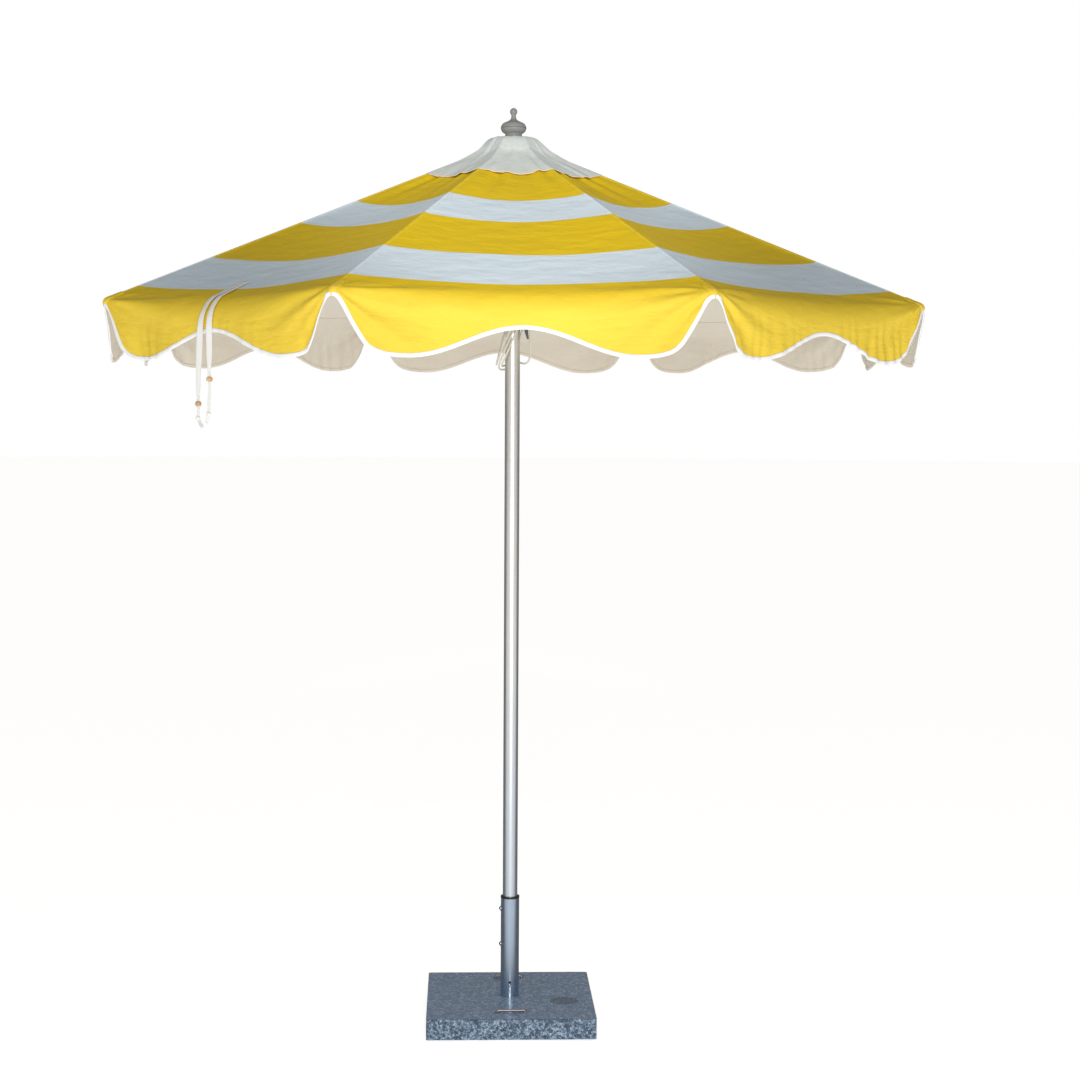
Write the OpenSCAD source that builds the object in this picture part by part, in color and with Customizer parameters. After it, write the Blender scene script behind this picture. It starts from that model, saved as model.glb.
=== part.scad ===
// Tilt-free beach umbrella: pulley-lift pole, eight hinged ribs and struts, striped canopy
// with a vent cap and scalloped valance, standing in a clamp tube on a granite slab.

/* [Base] */
// Side of the square granite slab
slab_w = 450; // [350:10:600]
// Thickness of the granite slab
slab_h = 55; // [40:5:80]
// Height of the rubber feet under the slab
foot_h = 4; // [3:1:8]
// Outer diameter of the steel base tube
base_tube_d = 50; // [48:1:56]
// Height of the base tube's mouth above the ground
base_tube_top = 330; // [280:10:400]

/* [Pole] */
// Outer diameter of the aluminium pole
pole_d = 40; // [38:1:42]
// Wall of the pole
pole_wall = 1.5; // [1:0.25:3]

/* [Canopy frame] */
// Height of the rib hinge pins
rib_pin_z = 2347; // [2200:10:2500]
// Length of a rib from its hinge pin to its tip
rib_len = 1135; // [1000:5:1200]
// Slope of an open rib below the horizontal, in degrees
rib_slope = 22.3; // [18:0.1:26]
// Distance along the rib from its pin to the strut's rivet
strut_at = 480; // [420:10:540]
// Angle of a closed rib from the vertical, in degrees
closed_angle = 6; // [5:0.5:10]

/* [Canopy cloth] */
// Thickness of the cloth solids
cloth_t = 1.2; // [1:0.1:3]
// Sag of a panel between its ribs
panel_sag = 21; // [0:1:30]
// Drop of the valance's two lobes below the rib tips
lobe_drop = 152; // [100:1:180]
// Drop of the valance's middle arch
arch_drop = 89; // [60:1:110]
// Drop of the notch at a rib tip
notch_drop = 18; // [8:1:30]

/* [Cords] */
// Diameter of the hoist cord
cord_d = 5; // [4:0.5:6]

/* [Hidden] */
$fn = 48;
eps = 0.01;
ribs = 8;
sector = 360 / ribs;
half = sector / 2;

slab_top = foot_h + slab_h;
tube_r = base_tube_d / 2;
tube_in = 22.5;
tube_bottom = 22;
pole_r = pole_d / 2;
pole_in = pole_r - pole_wall;
pole_foot_z = 40;
pole_top = rib_pin_z + 13;
screw_z = [300, 202];
handle_y = 165;
handle_x = 37;
handle_r = 3.5;
handle_z = slab_top + 6;

pin_r = 2;
pin_ring = 42;
slot_w = 10;
lug_w = 8;
hub_r = 52;
hub_low = rib_pin_z - 8;
hub_high = rib_pin_z + 16;
boss_top = hub_high + 17.5;
hub_wall = 34.5;

rivet_drop = 16;
rib_w = 12;
rib_h = 16;
strut_len = norm([strut_at, rivet_drop]);
rivet_angle = atan2(rivet_drop, strut_at);
strut_open = 90 - rib_slope - rivet_angle;
runner_z = rib_pin_z - 2 * strut_len * cos(strut_open);
strut_slope = 90 - strut_open;
skirt_r = 23.5;
skirt_low = 1885;

sheave_z = rib_pin_z - 57;
cord_r = cord_d / 2;
fall_x = 26.4;
fall_low = 1926;
groove_r = fall_x - cord_r - 0.8;
knot_z = runner_z - 14;

cloth_off = rib_h / 2 + 2.3 + cloth_t / 2;
cloth_start = 18;
seam_gap = 1.2;
gore_rows = 6;
gore_cols = 8;
hem_cols = 16;

// The hoist cord's tail, from the end of its fall to its knot: [x, y, z]
TAIL = [
    [26.4, 0, 1926], [26.4, 0, 1921.5], [27, -6, 1914], [25, -14, 1901.5], [15, -22.5, 1884],
    [4, -26.5, 1857], [-10, -25.5, 1823], [-21, -18, 1797], [-28, -5, 1781], [-28, 8, 1776],
    [-18, 20, 1779], [0, 26.5, 1785], [18, 20, 1787], [29, 12, 1783], [38, 7, 1784], [45, 4, 1793],
    [47.5, 2, 1812], [47.5, 0, 1838], [47.5, -3, 1868], [47.5, -8, 1894], [44.5, -12, 1909],
    [37, -16, 1918], [27.5, -19, 1914], [18, -22.5, 1902], [6, -27, 1881], [-6, -27, 1853],
    [-21, -20.5, 1818], [-33, -9, 1789], [-37, 3, 1774], [-31, 17, 1767], [-14, 29, 1769],
    [4, 33, 1780], [12, 31, 1806], [17, 27, 1838], [24, 23, 1868], [34, 18, 1893],
    [44.5, 10, 1911], [48.5, -2, 1925], [45, -12, 1936], [36, -19.5, 1935], [26, -23.5, 1922],
    [15, -27, 1905], [2, -30.5, 1885], [-10, -28.5, 1864], [-22, -21.5, 1839],
    [-32, -12, 1812], [-39, -1, 1794], [-42, 8, 1783], [-42.5, 18, 1780], [-41, 26, 1788],
    [-37, 28, 1806], [-31, 26, 1834], [-23, 25, 1862], [-12, 28, 1886], [4, 29.5, 1899],
    [18, 24, 1908], [27, 15, 1915]];

// The two closing tapes, from their stitching on the panel to their cut ends. Each point is
// [out, across, z, half the tape's width]: it is folded narrow to pass through its bead
TAPE_LEFT = [
    [901, -23, 1959, 7.5], [938, -24, 1943, 7.5], [970, -25, 1929, 7.5], [992, -27, 1917, 7.5],
    [1012, -29, 1890, 7.5], [1020, -32, 1858, 7.5], [1021, -36, 1800, 7.5],
    [1021, -40, 1735, 6], [1020, -42, 1685, 4], [1020, -42, 1657, 3], [1020, -43, 1638, 3],
    [1020, -35, 1624, 4], [1020, -26, 1616, 4]];
TAPE_RIGHT = [
    [902, -5, 1959, 7.5], [938, -4, 1943, 7.5], [970, -3, 1929, 7.5], [992, -2, 1917, 7.5],
    [1012, -1, 1890, 7.5], [1020, 0, 1858, 7.5], [1021, 1, 1800, 7], [1021, 1, 1745, 4],
    [1020, 1, 1714, 3], [1020, -1, 1690, 3.5], [1020, -3, 1648, 3], [1020, -7, 1637, 4],
    [1020, -12, 1627, 4]];
tape_half_t = 0.8;
bead_left = [1020, -42, 1671];
bead_right = [1020.5, 1, 1728];
knot_left = [1020, -43, 1638];
knot_right = [1020, -3, 1648];
bead_r = 7.5;
bead_h = 11;
bead_hole_r = 4.4;
knot_r = 5.5;

// Direction of rib k, and of the middle of panel k: rib k is the panel's right-hand neighbour
function rib_az(k) = -90 - half + sector * (k - 1);
function mid_az(k) = -90 + sector * (k - 1);

// ---- shared shapes ----

module ring(r_out, r_in, z_low, z_high) {
    difference() {
        translate([0, 0, z_low]) cylinder(r = r_out, h = z_high - z_low);
        translate([0, 0, z_low - 1]) cylinder(r = r_in, h = z_high - z_low + 2);
    }
}

// A round bar along X or Y, centred on the origin
module cross_bar(r, length, along = "y") {
    rotate(along == "y" ? [90, 0, 0] : [0, 90, 0]) cylinder(r = r, h = length, center = true);
}

// A square plate with round corners
module round_plate(w, h, r) {
    linear_extrude(h) union() {
        square([w - 2 * r, w], center = true);
        square([w, w - 2 * r], center = true);
        for (sx = [-1, 1], sy = [-1, 1]) translate([sx, sy] * (w / 2 - r)) circle(r);
    }
}

// A closed sheet: rows of points on its one face and on its other face
module sheet(top, bottom) {
    rows = len(top);
    cols = len(top[0]);
    count = rows * cols;
    pts = concat([for (row = top) each row], [for (row = bottom) each row]);
    function at(i, j) = i * cols + j;
    upper = [for (i = [0:rows - 2], j = [0:cols - 2])
        each [[at(i, j), at(i, j + 1), at(i + 1, j)],
              [at(i, j + 1), at(i + 1, j + 1), at(i + 1, j)]]];
    lower = [for (f = upper) [f[0] + count, f[2] + count, f[1] + count]];
    rim = concat([for (j = [0:cols - 1]) at(0, j)],
                 [for (i = [1:rows - 1]) at(i, cols - 1)],
                 [for (j = [cols - 2:-1:0]) at(rows - 1, j)],
                 [for (i = [rows - 2:-1:1]) at(i, 0)]);
    n = len(rim);
    wall = [for (q = [0:n - 1]) let (a = rim[q], b = rim[(q + 1) % n])
        each [[a, a + count, b], [b, a + count, b + count]]];
    polyhedron(pts, concat(upper, lower, wall));
}

function unit(v) = v / norm(v);
function along(pts, i) = unit(pts[min(i + 1, len(pts) - 1)] - pts[max(i - 1, 0)]);
// A frame carried along the route without twisting
function carry(pts, i, side) = let (d = along(pts, i)) unit(side - (side * d) * d);
function sides_of(pts, i, side) =
    i >= len(pts) ? [] : let (s = carry(pts, i, side)) concat([s], sides_of(pts, i + 1, s));

// A tube or tape swept along a route. half_w gives half its width at each point
module sweep(pts, half_w, half_h, side, n = 8) {
    across = sides_of(pts, 0, side);
    rings = [for (i = [0:len(pts) - 1])
        let (s = across[i], up = cross(along(pts, i), s))
        [for (a = [0:n - 1]) pts[i] + cos((a + 0.5) * 360 / n) * half_w[i] * s
                                    + sin((a + 0.5) * 360 / n) * half_h * up]];
    last = (len(pts) - 1) * n;
    walls = [for (i = [0:len(pts) - 2], a = [0:n - 1])
        let (b = (a + 1) % n, p = i * n, q = p + n)
        each [[p + a, q + a, p + b], [p + b, q + a, q + b]]];
    polyhedron([for (r = rings) each r],
        concat(walls, [[for (a = [0:n - 1]) a]], [[for (a = [n - 1:-1:0]) last + a]]));
}

function xyz(p) = [p[0], p[1], p[2]];

// A round cord along a route
module cord(route, side) {
    sweep(route, [for (p = route) cord_r], cord_r, side);
}

// ---- base ----

module granite_slab() {
    color("slategray") difference() {
        translate([0, 0, foot_h]) round_plate(slab_w, slab_h, 6);
        translate([0, 0, tube_bottom - 0.5]) cylinder(r = tube_r + 0.3, h = slab_h + 10);
        cylinder(r = 6.5, h = slab_top);
        translate([0, 0, foot_h - 1]) cylinder(r = 17, h = 11);
        for (sx = [-1, 1], sy = [-1, 1])
            translate([sx * handle_x, sy * handle_y, slab_top - 42]) cylinder(r = 5, h = 50);
    }
}

module rubber_feet() {
    color("black") for (sx = [-1, 1], sy = [-1, 1])
        translate([sx, sy, 0] * (slab_w / 2 - 45)) cylinder(r = 20, h = foot_h);
}

module screw_boss(z) {
    translate([-tube_r + 0.3, 0, z]) cross_bar(7, 3.6, "x");
}

module base_tube() {
    color("silver") difference() {
        union() {
            translate([0, 0, tube_bottom]) cylinder(r = tube_r, h = base_tube_top - tube_bottom);
            for (z = screw_z) screw_boss(z);
        }
        translate([0, 0, tube_bottom - 1]) cylinder(r = tube_in, h = base_tube_top);
        for (z = screw_z) translate([-tube_r - 5, 0, z]) cross_bar(2.65, 30, "x");
        translate([0, -tube_r, 100]) cross_bar(4, 12);
    }
}

module tube_plug() {
    color("dimgray") difference() {
        translate([0, 0, tube_bottom]) cylinder(r = tube_in, h = 12);
        translate([0, 0, tube_bottom - 1]) cylinder(r = 6.05, h = 14);
    }
}

module tube_bolt() {
    color("silver") {
        translate([0, 0, foot_h + 8]) cylinder(r = 6, h = 20);
        translate([0, 0, foot_h + 7.9]) cylinder(r = 14, h = 1.9);
        translate([0, 0, foot_h + 1]) cylinder(r = 10.4, h = 7, $fn = 6);
    }
}

module reducer_sleeve() {
    color("black") difference() {
        union() {
            ring(tube_in - 0.1, pole_r + 0.3, 90, base_tube_top);
            ring(tube_r + 0.6, pole_r + 0.3, base_tube_top, base_tube_top + 5);
        }
        for (z = screw_z) translate([-tube_in, 0, z]) cross_bar(3.2, 12, "x");
    }
}

module clamp_screw(z) {
    tip = -pole_r - 0.2;
    seat = -tube_r - 1.6;
    color("dimgray") translate([0, 0, z]) {
        translate([(tip + seat) / 2, 0, 0]) cross_bar(2.6, tip - seat, "x");
        difference() {
            translate([seat + eps, 0, 0]) rotate([0, -90, 0]) cylinder(r1 = 4.6, r2 = 2.8, h = 3.2);
            translate([seat - 3.2, 0, 0]) rotate([0, 90, 0])
                cylinder(r = 1.7, h = 3.6, center = true, $fn = 6);
        }
    }
}

module clamp_screw_upper() { clamp_screw(screw_z[0]); }
module clamp_screw_lower() { clamp_screw(screw_z[1]); }

// A staple-shaped handle whose legs slide in two blind holes of the slab
module handle(side) {
    color("silver") translate([0, side * handle_y, 0]) {
        translate([0, 0, handle_z]) cross_bar(handle_r, 2 * handle_x - 2 * handle_r, "x");
        for (sx = [-1, 1]) {
            translate([sx * handle_x, 0, slab_top - 38])
                cylinder(r = handle_r, h = 38 + handle_z - slab_top - handle_r);
            translate([sx * (handle_x - handle_r), 0, handle_z - handle_r])
                rotate([90, 0, 0]) rotate([0, 0, sx > 0 ? 0 : 90])
                rotate_extrude(angle = 90) translate([handle_r, 0]) circle(handle_r - eps);
            translate([sx * handle_x, 0, slab_top - 41.5]) cylinder(r = 4.7, h = 4);
        }
    }
}

module handle_front() { handle(-1); }
module handle_back() { handle(1); }

// ---- pole ----

module pole_foot_cap() {
    color("black") {
        translate([0, 0, pole_foot_z - 5.5]) cylinder(r = pole_r - 0.2, h = 5.3);
        translate([0, 0, pole_foot_z - 0.5]) cylinder(r = pole_in - 0.05, h = 22);
    }
}

module pole_tube() {
    color("gainsboro") difference() {
        ring(pole_r, pole_in, pole_foot_z, pole_top);
        translate([-pole_d, -4.7, sheave_z - 31]) cube([2 * pole_d, 9.4, 62]);
        translate([0, 0, sheave_z]) cross_bar(3.05, 3 * pole_d);
    }
}

// Eight slots for the root lugs, open outwards and to the side that the lug folds to
module lug_slots(z_low, z_high) {
    for (k = [1:ribs]) rotate([0, 0, rib_az(k)])
        translate([hub_wall, -slot_w / 2, z_low]) cube([hub_r, slot_w, z_high - z_low]);
}

module pins(z, from_end, to_end) {
    for (k = [1:ribs]) rotate([0, 0, rib_az(k)]) for (s = from_end)
        translate([pin_ring, s, z]) cross_bar(pin_r, to_end);
}

module top_hub() {
    color("whitesmoke") difference() {
        union() {
            translate([0, 0, hub_low]) cylinder(r = hub_r, h = hub_high - hub_low);
            translate([0, 0, hub_high - 1]) cylinder(r = 30, h = boss_top - hub_high + 1);
        }
        translate([0, 0, hub_low - 1]) cylinder(r = pole_r + 0.05, h = pole_top - hub_low + 1.2);
        cylinder(r = 4.05, h = hub_high + 20);
        lug_slots(hub_low - 1, rib_pin_z + 9);
        for (k = [1:ribs]) rotate([0, 0, rib_az(k)])
            translate([pin_ring, 0, rib_pin_z]) cross_bar(pin_r + 0.05, slot_w + 16);
    }
}

module rib_root_pins() {
    color("silver") pins(rib_pin_z, [0], slot_w + 14);
}

// A turned knob: foot, groove, bulb, neck and ball
module finial() {
    foot = boss_top + 2;
    bulb = [for (a = [-62:12.4:62]) [16 + 18 * cos(a), foot + 26 + 16 * sin(a)]];
    ball = [for (a = [-52:14.2:90]) [max(9.8 * cos(a), 0), foot + 69.2 + 9.8 * sin(a)]];
    color("gray") {
        rotate_extrude() polygon(concat(
            [[0, foot], [23.2, foot], [23.2, foot + 6], [22, foot + 7.5], [22, foot + 9.5]],
            bulb,
            [[16, foot + 43.7], [10.5, foot + 47.5], [6.8, foot + 51.5], [6.2, foot + 56]],
            ball));
        translate([0, 0, pole_top + 1]) cylinder(r = 4, h = foot - pole_top);
    }
}

module sheave() {
    color("dimgray") translate([0, 0, sheave_z]) rotate([90, 0, 0]) difference() {
        rotate_extrude() polygon([
            [3.1, -4], [27.6, -4], [27.6, -3.4], [groove_r, -2.2], [groove_r, 2.2],
            [27.6, 3.4], [27.6, 4], [3.1, 4]]);
    }
}

module sheave_axle() {
    color("silver") translate([0, 0, sheave_z]) {
        cross_bar(3, pole_d + 6);
        for (s = [-1, 1]) translate([0, s * (pole_r + 1.6), 0]) cross_bar(5.5, 2.8);
    }
}

// ---- hoist cord ----

function fall_route() = concat(
    [[-fall_x, 0, knot_z]],
    [for (a = [180:-22.5:0]) [fall_x * cos(a), 0, sheave_z + fall_x * sin(a)]],
    [[fall_x, 0, fall_low]]);

module hoist_cord() {
    color("wheat") {
        cord(fall_route(), [0, 1, 0]);
        translate([-fall_x - 2.6, 0, knot_z + 0.7]) sphere(r = 5, $fn = 24);
    }
}

module cord_tail() {
    color("wheat") {
        cord(TAIL, [1, 0, 0]);
        translate(TAIL[len(TAIL) - 1] + [2.5, -4, 1]) sphere(r = 5, $fn = 24);
    }
}

// ---- runner ----

module runner() {
    color("whitesmoke") difference() {
        union() {
            translate([0, 0, runner_z - 8]) cylinder(r = hub_r, h = 18);
            translate([0, 0, skirt_low]) cylinder(r = skirt_r, h = runner_z - skirt_low);
        }
        translate([0, 0, skirt_low - 1]) cylinder(r = pole_r + 0.35, h = 200);
        lug_slots(runner_z - 9, runner_z + 11);
        for (sx = [-1, 1]) translate([sx * fall_x, 0, runner_z - 9]) cylinder(r = 3.6, h = 20);
        for (k = [1:ribs]) rotate([0, 0, rib_az(k)])
            translate([pin_ring, 0, runner_z]) cross_bar(pin_r + 0.05, slot_w + 16);
    }
}

// Stub pins: each strut end hangs between two, so that it can leave them part-way down
module runner_pins() {
    color("silver") pins(runner_z, [-1, 1] * (slot_w / 2 + 2.4), 6);
}

module cord_cleat() {
    color("dimgray") rotate([90, 0, 0]) linear_extrude(9, center = true) polygon([
        [skirt_r + 0.1, 1880], [30, 1880], [33, 1866], [39, 1848], [44, 1850], [42, 1864],
        [41, 1886], [41, 1906], [42, 1924], [43, 1938], [39, 1940], [34, 1922], [33, 1910],
        [skirt_r + 0.1, 1910]]);
}

// ---- ribs and struts ----

module in_rib_frame(k) {
    rotate([0, 0, rib_az(k)]) translate([pin_ring, 0, rib_pin_z]) rotate([0, rib_slope, 0])
        children();
}

// A flat lug with a round eye at the origin, reaching along +X
module lug(reach, w, r) {
    rotate([90, 0, 0]) difference() {
        union() {
            cylinder(r = r, h = w, center = true);
            translate([0, -r, -w / 2]) cube([reach, 2 * r, w]);
        }
        cylinder(r = pin_r + 0.1, h = w + 2, center = true);
    }
}

module box_tube(from, to, w, h, wall) {
    translate([from, -w / 2, -h / 2]) difference() {
        cube([to - from, w, h]);
        translate([-1, wall, wall]) cube([to - from + 2, w - 2 * wall, h - 2 * wall]);
    }
}

module rib(k) {
    tip = rib_len - 5;
    color("gainsboro") in_rib_frame(k) {
        lug(44, lug_w, 6.4);
        box_tube(16, tip - 12, rib_w, rib_h, 1.4);
        translate([tip - 40, -rib_w / 2 + 1.5, -rib_h / 2 + 1.5])
            cube([28, rib_w - 3, rib_h - 3]);
        translate([tip - 12, -rib_w / 2 - 1, -rib_h / 2 - 1]) cube([12, rib_w + 2, rib_h]);
        for (s = [-1, 1]) translate([strut_at, s * (lug_w / 2 + 0.5 + 1.25), 0])
            rotate([90, 0, 0]) difference() {
                union() {
                    translate([0, -rivet_drop, 0]) cylinder(r = 7, h = 2.5, center = true);
                    translate([-14, -rivet_drop, -1.25]) cube([28, rivet_drop - 8, 2.5]);
                }
                translate([0, -rivet_drop, 0]) cylinder(r = 2.55, h = 4, center = true);
            }
        translate([strut_at, 0, -rivet_drop]) {
            cross_bar(2.5, lug_w + 7);
            for (s = [-1, 1]) translate([0, s * (lug_w / 2 + 3.9), 0]) cross_bar(4, 1.6);
        }
    }
}

module strut(k) {
    color("gainsboro") rotate([0, 0, rib_az(k)]) translate([pin_ring, 0, runner_z])
        rotate([0, -strut_slope, 0]) {
            lug(40, 8, 6);
            box_tube(15, strut_len - 16, 8, 12, 1.2);
            translate([strut_len, 0, 0]) rotate([0, 0, 180]) rotate([90, 0, 0])
                difference() {
                    union() {
                        cylinder(r = 6, h = 8, center = true);
                        translate([0, -4.8, -2.8]) cube([40, 9.6, 5.6]);
                        translate([0, -6, -4]) cube([16, 12, 8]);
                    }
                    cylinder(r = 2.6, h = 10, center = true);
                }
        }
}

// ---- cloth ----

// Distance out and height of the cloth over a rib, at a distance s along it
function cloth_out(s, off) = pin_ring + s * cos(rib_slope) + off * sin(rib_slope);
function cloth_z(s, off) = rib_pin_z - s * sin(rib_slope) + off * cos(rib_slope);
function sag(s) = panel_sag * (1 - pow(1 - min(s / 520, 1), 2));
function across(out, u) = u * (out * tan(half) - seam_gap);
// Distance along the rib at which the cloth is a given distance out, measured mid-panel
function reach(out) = (out / cos(half) - pin_ring - cloth_off * sin(rib_slope)) / cos(rib_slope);

function gore_point(s, u, off) = let (out = cloth_out(s, off) * cos(half))
    [out, across(out, u), cloth_z(s, off) - sag(s) * (1 - u * u)];

function hem_drop(a) =
    a > 0.8 ? lobe_drop - 5 - (lobe_drop - 5 - notch_drop) * pow((a - 0.8) / 0.2, 1.2)
  : a > 0.6 ? lobe_drop - 5 * pow((a - 0.6) / 0.2, 2)
  : arch_drop + (lobe_drop - arch_drop) * (1 - cos(300 * a)) / 2;

mid_slope = atan(tan(rib_slope) / cos(half));
hang_slope = 89;
hang_out = cloth_out(rib_len, cloth_off) * cos(half) + 3;
rim_z = cloth_z(rib_len, cloth_off);
seam_out = 969;
bend_rows = 4;

// The cloth bends from the panel's slope to the hang of the valance: tightly at the rib tips
function bend_r(u) = 14 + 61 * (1 - u * u);
// One point of the valance: [out, z] and the slope of the cloth there
function bend_point(u, slope) = let (r = bend_r(u),
        out = hang_out - r * (sin(hang_slope) - sin(mid_slope)), s = reach(out))
    [out + r * (sin(slope) - sin(mid_slope)),
     cloth_z(s, cloth_off) - panel_sag * (1 - u * u) - r * (cos(mid_slope) - cos(slope)),
     slope];
function hang_point(u, f) = let (top = bend_point(u, hang_slope), hem = rim_z - hem_drop(abs(u)))
    [top[0], top[1] + (hem - top[1]) * f, hang_slope];
function seam_point(u) = let (s = reach(seam_out + seam_gap))
    [seam_out + seam_gap, cloth_z(s, cloth_off) - sag(s) * (1 - u * u), mid_slope];
function valance_column(u) = concat([seam_point(u)],
    [for (i = [0:bend_rows]) bend_point(u, mid_slope + (hang_slope - mid_slope) * i / bend_rows)],
    [for (f = [0.5, 1]) hang_point(u, f)]);

module gore(k) {
    function face(off) = [for (i = [0:gore_rows]) [for (j = [0:gore_cols])
        gore_point(cloth_start + (reach(seam_out) - cloth_start) * i / gore_rows,
                   2 * j / gore_cols - 1, off)]];
    color(k % 2 == 0 ? "gold" : "khaki") rotate([0, 0, mid_az(k)])
        sheet(face(cloth_off + cloth_t / 2), face(cloth_off - cloth_t / 2));
}

module valance(k) {
    columns = [for (j = [0:hem_cols]) valance_column(2 * j / hem_cols - 1)];
    function face(off) = [for (i = [0:len(columns[0]) - 1]) [for (j = [0:hem_cols])
        let (p = columns[j][i], out = p[0] + off * sin(p[2]))
        [out, across(out, 2 * j / hem_cols - 1), p[1] + off * cos(p[2])]]];
    color("gold") rotate([0, 0, mid_az(k)]) sheet(face(cloth_t / 2), face(-cloth_t / 2));
}

// The vent cap: a bell over the canopy's crown, flat on the hub and then along the ribs
module vent_cap() {
    profile = [[24.3, boss_top + 0.5], [54, boss_top - 0.5], [70, hub_high + 5], [100, 2343],
               [170, 2312], [248, 2281]];
    function face(lift) = [for (p = profile) [for (c = [0:4 * ribs])
        let (a = rib_az(1) + c * 360 / (4 * ribs), q = abs((c % 4) - 2) / 2,
             r = p[0] < 60 ? p[0] : p[0] * cos(half) / cos(half * q),
             dip = p[0] < 80 ? 0 : 0.03 * p[0] * (1 - q * q))
        [r * cos(a), r * sin(a), p[1] + lift - dip]]];
    color("white") closed_band(face(cloth_t), face(0));
}

// A closed wall between two surfaces that run all the way round
module closed_band(top, bottom) {
    rows = len(top);
    n = len(top[0]) - 1;
    count = rows * n;
    function strip(face) = [for (row = face, j = [0:n - 1]) row[j]];
    function at(i, j) = i * n + j % n;
    outer = [for (i = [0:rows - 2], j = [0:n - 1])
        each [[at(i, j), at(i, j + 1), at(i + 1, j)],
              [at(i, j + 1), at(i + 1, j + 1), at(i + 1, j)]]];
    inner = [for (f = outer) [f[0] + count, f[2] + count, f[1] + count]];
    ends = [for (j = [0:n - 1]) let (a = at(0, j), b = at(0, j + 1),
                                     c = at(rows - 1, j), d = at(rows - 1, j + 1))
        each [[a, a + count, b], [b, a + count, b + count],
              [c, d, c + count], [d, d + count, c + count]]];
    polyhedron(concat(strip(top), strip(bottom)), concat(outer, inner, ends));
}

module tape(route) {
    sweep([for (p = route) xyz(p)], [for (p = route) p[3]], tape_half_t, [0, 1, 0]);
}

module tie_tapes() {
    color("white") rotate([0, 0, mid_az(8)]) {
        tape(TAPE_LEFT);
        tape(TAPE_RIGHT);
        for (p = [knot_left, knot_right]) translate(p) sphere(r = knot_r, $fn = 24);
    }
}

// A barrel-shaped wooden bead that slides on a tape
module bead() {
    difference() {
        intersection() {
            sphere(r = bead_r);
            cube([3 * bead_r, 3 * bead_r, bead_h], center = true);
        }
        cylinder(r = bead_hole_r, h = 3 * bead_r, center = true);
    }
}

module tie_beads() {
    color("burlywood") rotate([0, 0, mid_az(8)])
        for (p = [bead_left, bead_right]) translate(p) bead();
}

granite_slab();
rubber_feet();
base_tube();
tube_plug();
tube_bolt();
reducer_sleeve();
clamp_screw_upper();
clamp_screw_lower();
handle_front();
handle_back();
pole_foot_cap();
pole_tube();
top_hub();
finial();
rib_root_pins();
sheave();
sheave_axle();
vent_cap();
hoist_cord();
runner();
runner_pins();
cord_cleat();
cord_tail();
tie_tapes();
tie_beads();
for (k = [1:ribs]) {
    rib(k);
    strut(k);
    gore(k);
    valance(k);
}
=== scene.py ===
import logging
import math
from dataclasses import dataclass, field
from enum import Enum
from typing import Callable, Optional, Sequence, Union

import bmesh
import bpy
from mathutils import Matrix, Vector, noise


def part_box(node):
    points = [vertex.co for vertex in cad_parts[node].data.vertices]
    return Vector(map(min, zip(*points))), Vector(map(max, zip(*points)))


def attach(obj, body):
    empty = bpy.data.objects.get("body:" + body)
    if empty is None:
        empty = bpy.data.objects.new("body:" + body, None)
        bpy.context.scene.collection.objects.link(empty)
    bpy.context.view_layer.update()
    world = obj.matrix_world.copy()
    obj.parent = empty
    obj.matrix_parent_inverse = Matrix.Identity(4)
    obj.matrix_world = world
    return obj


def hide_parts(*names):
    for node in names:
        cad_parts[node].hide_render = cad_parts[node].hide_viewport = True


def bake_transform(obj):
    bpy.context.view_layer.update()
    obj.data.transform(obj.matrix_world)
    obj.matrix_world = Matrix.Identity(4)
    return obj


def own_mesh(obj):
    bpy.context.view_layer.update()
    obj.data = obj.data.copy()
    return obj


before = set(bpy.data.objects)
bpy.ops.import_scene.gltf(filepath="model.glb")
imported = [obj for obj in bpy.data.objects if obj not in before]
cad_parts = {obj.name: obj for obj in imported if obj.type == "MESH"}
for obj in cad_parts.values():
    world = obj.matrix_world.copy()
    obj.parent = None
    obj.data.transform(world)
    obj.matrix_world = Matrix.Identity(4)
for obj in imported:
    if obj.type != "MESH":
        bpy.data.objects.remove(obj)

LOG = logging.getLogger("beach_umbrella")
PANELS = range(1, 9)
Colour = tuple[float, float, float]
Pair = tuple[float, float]
Value = Union["Wire", float, int, Colour]


# ---- shader tools ----


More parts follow.
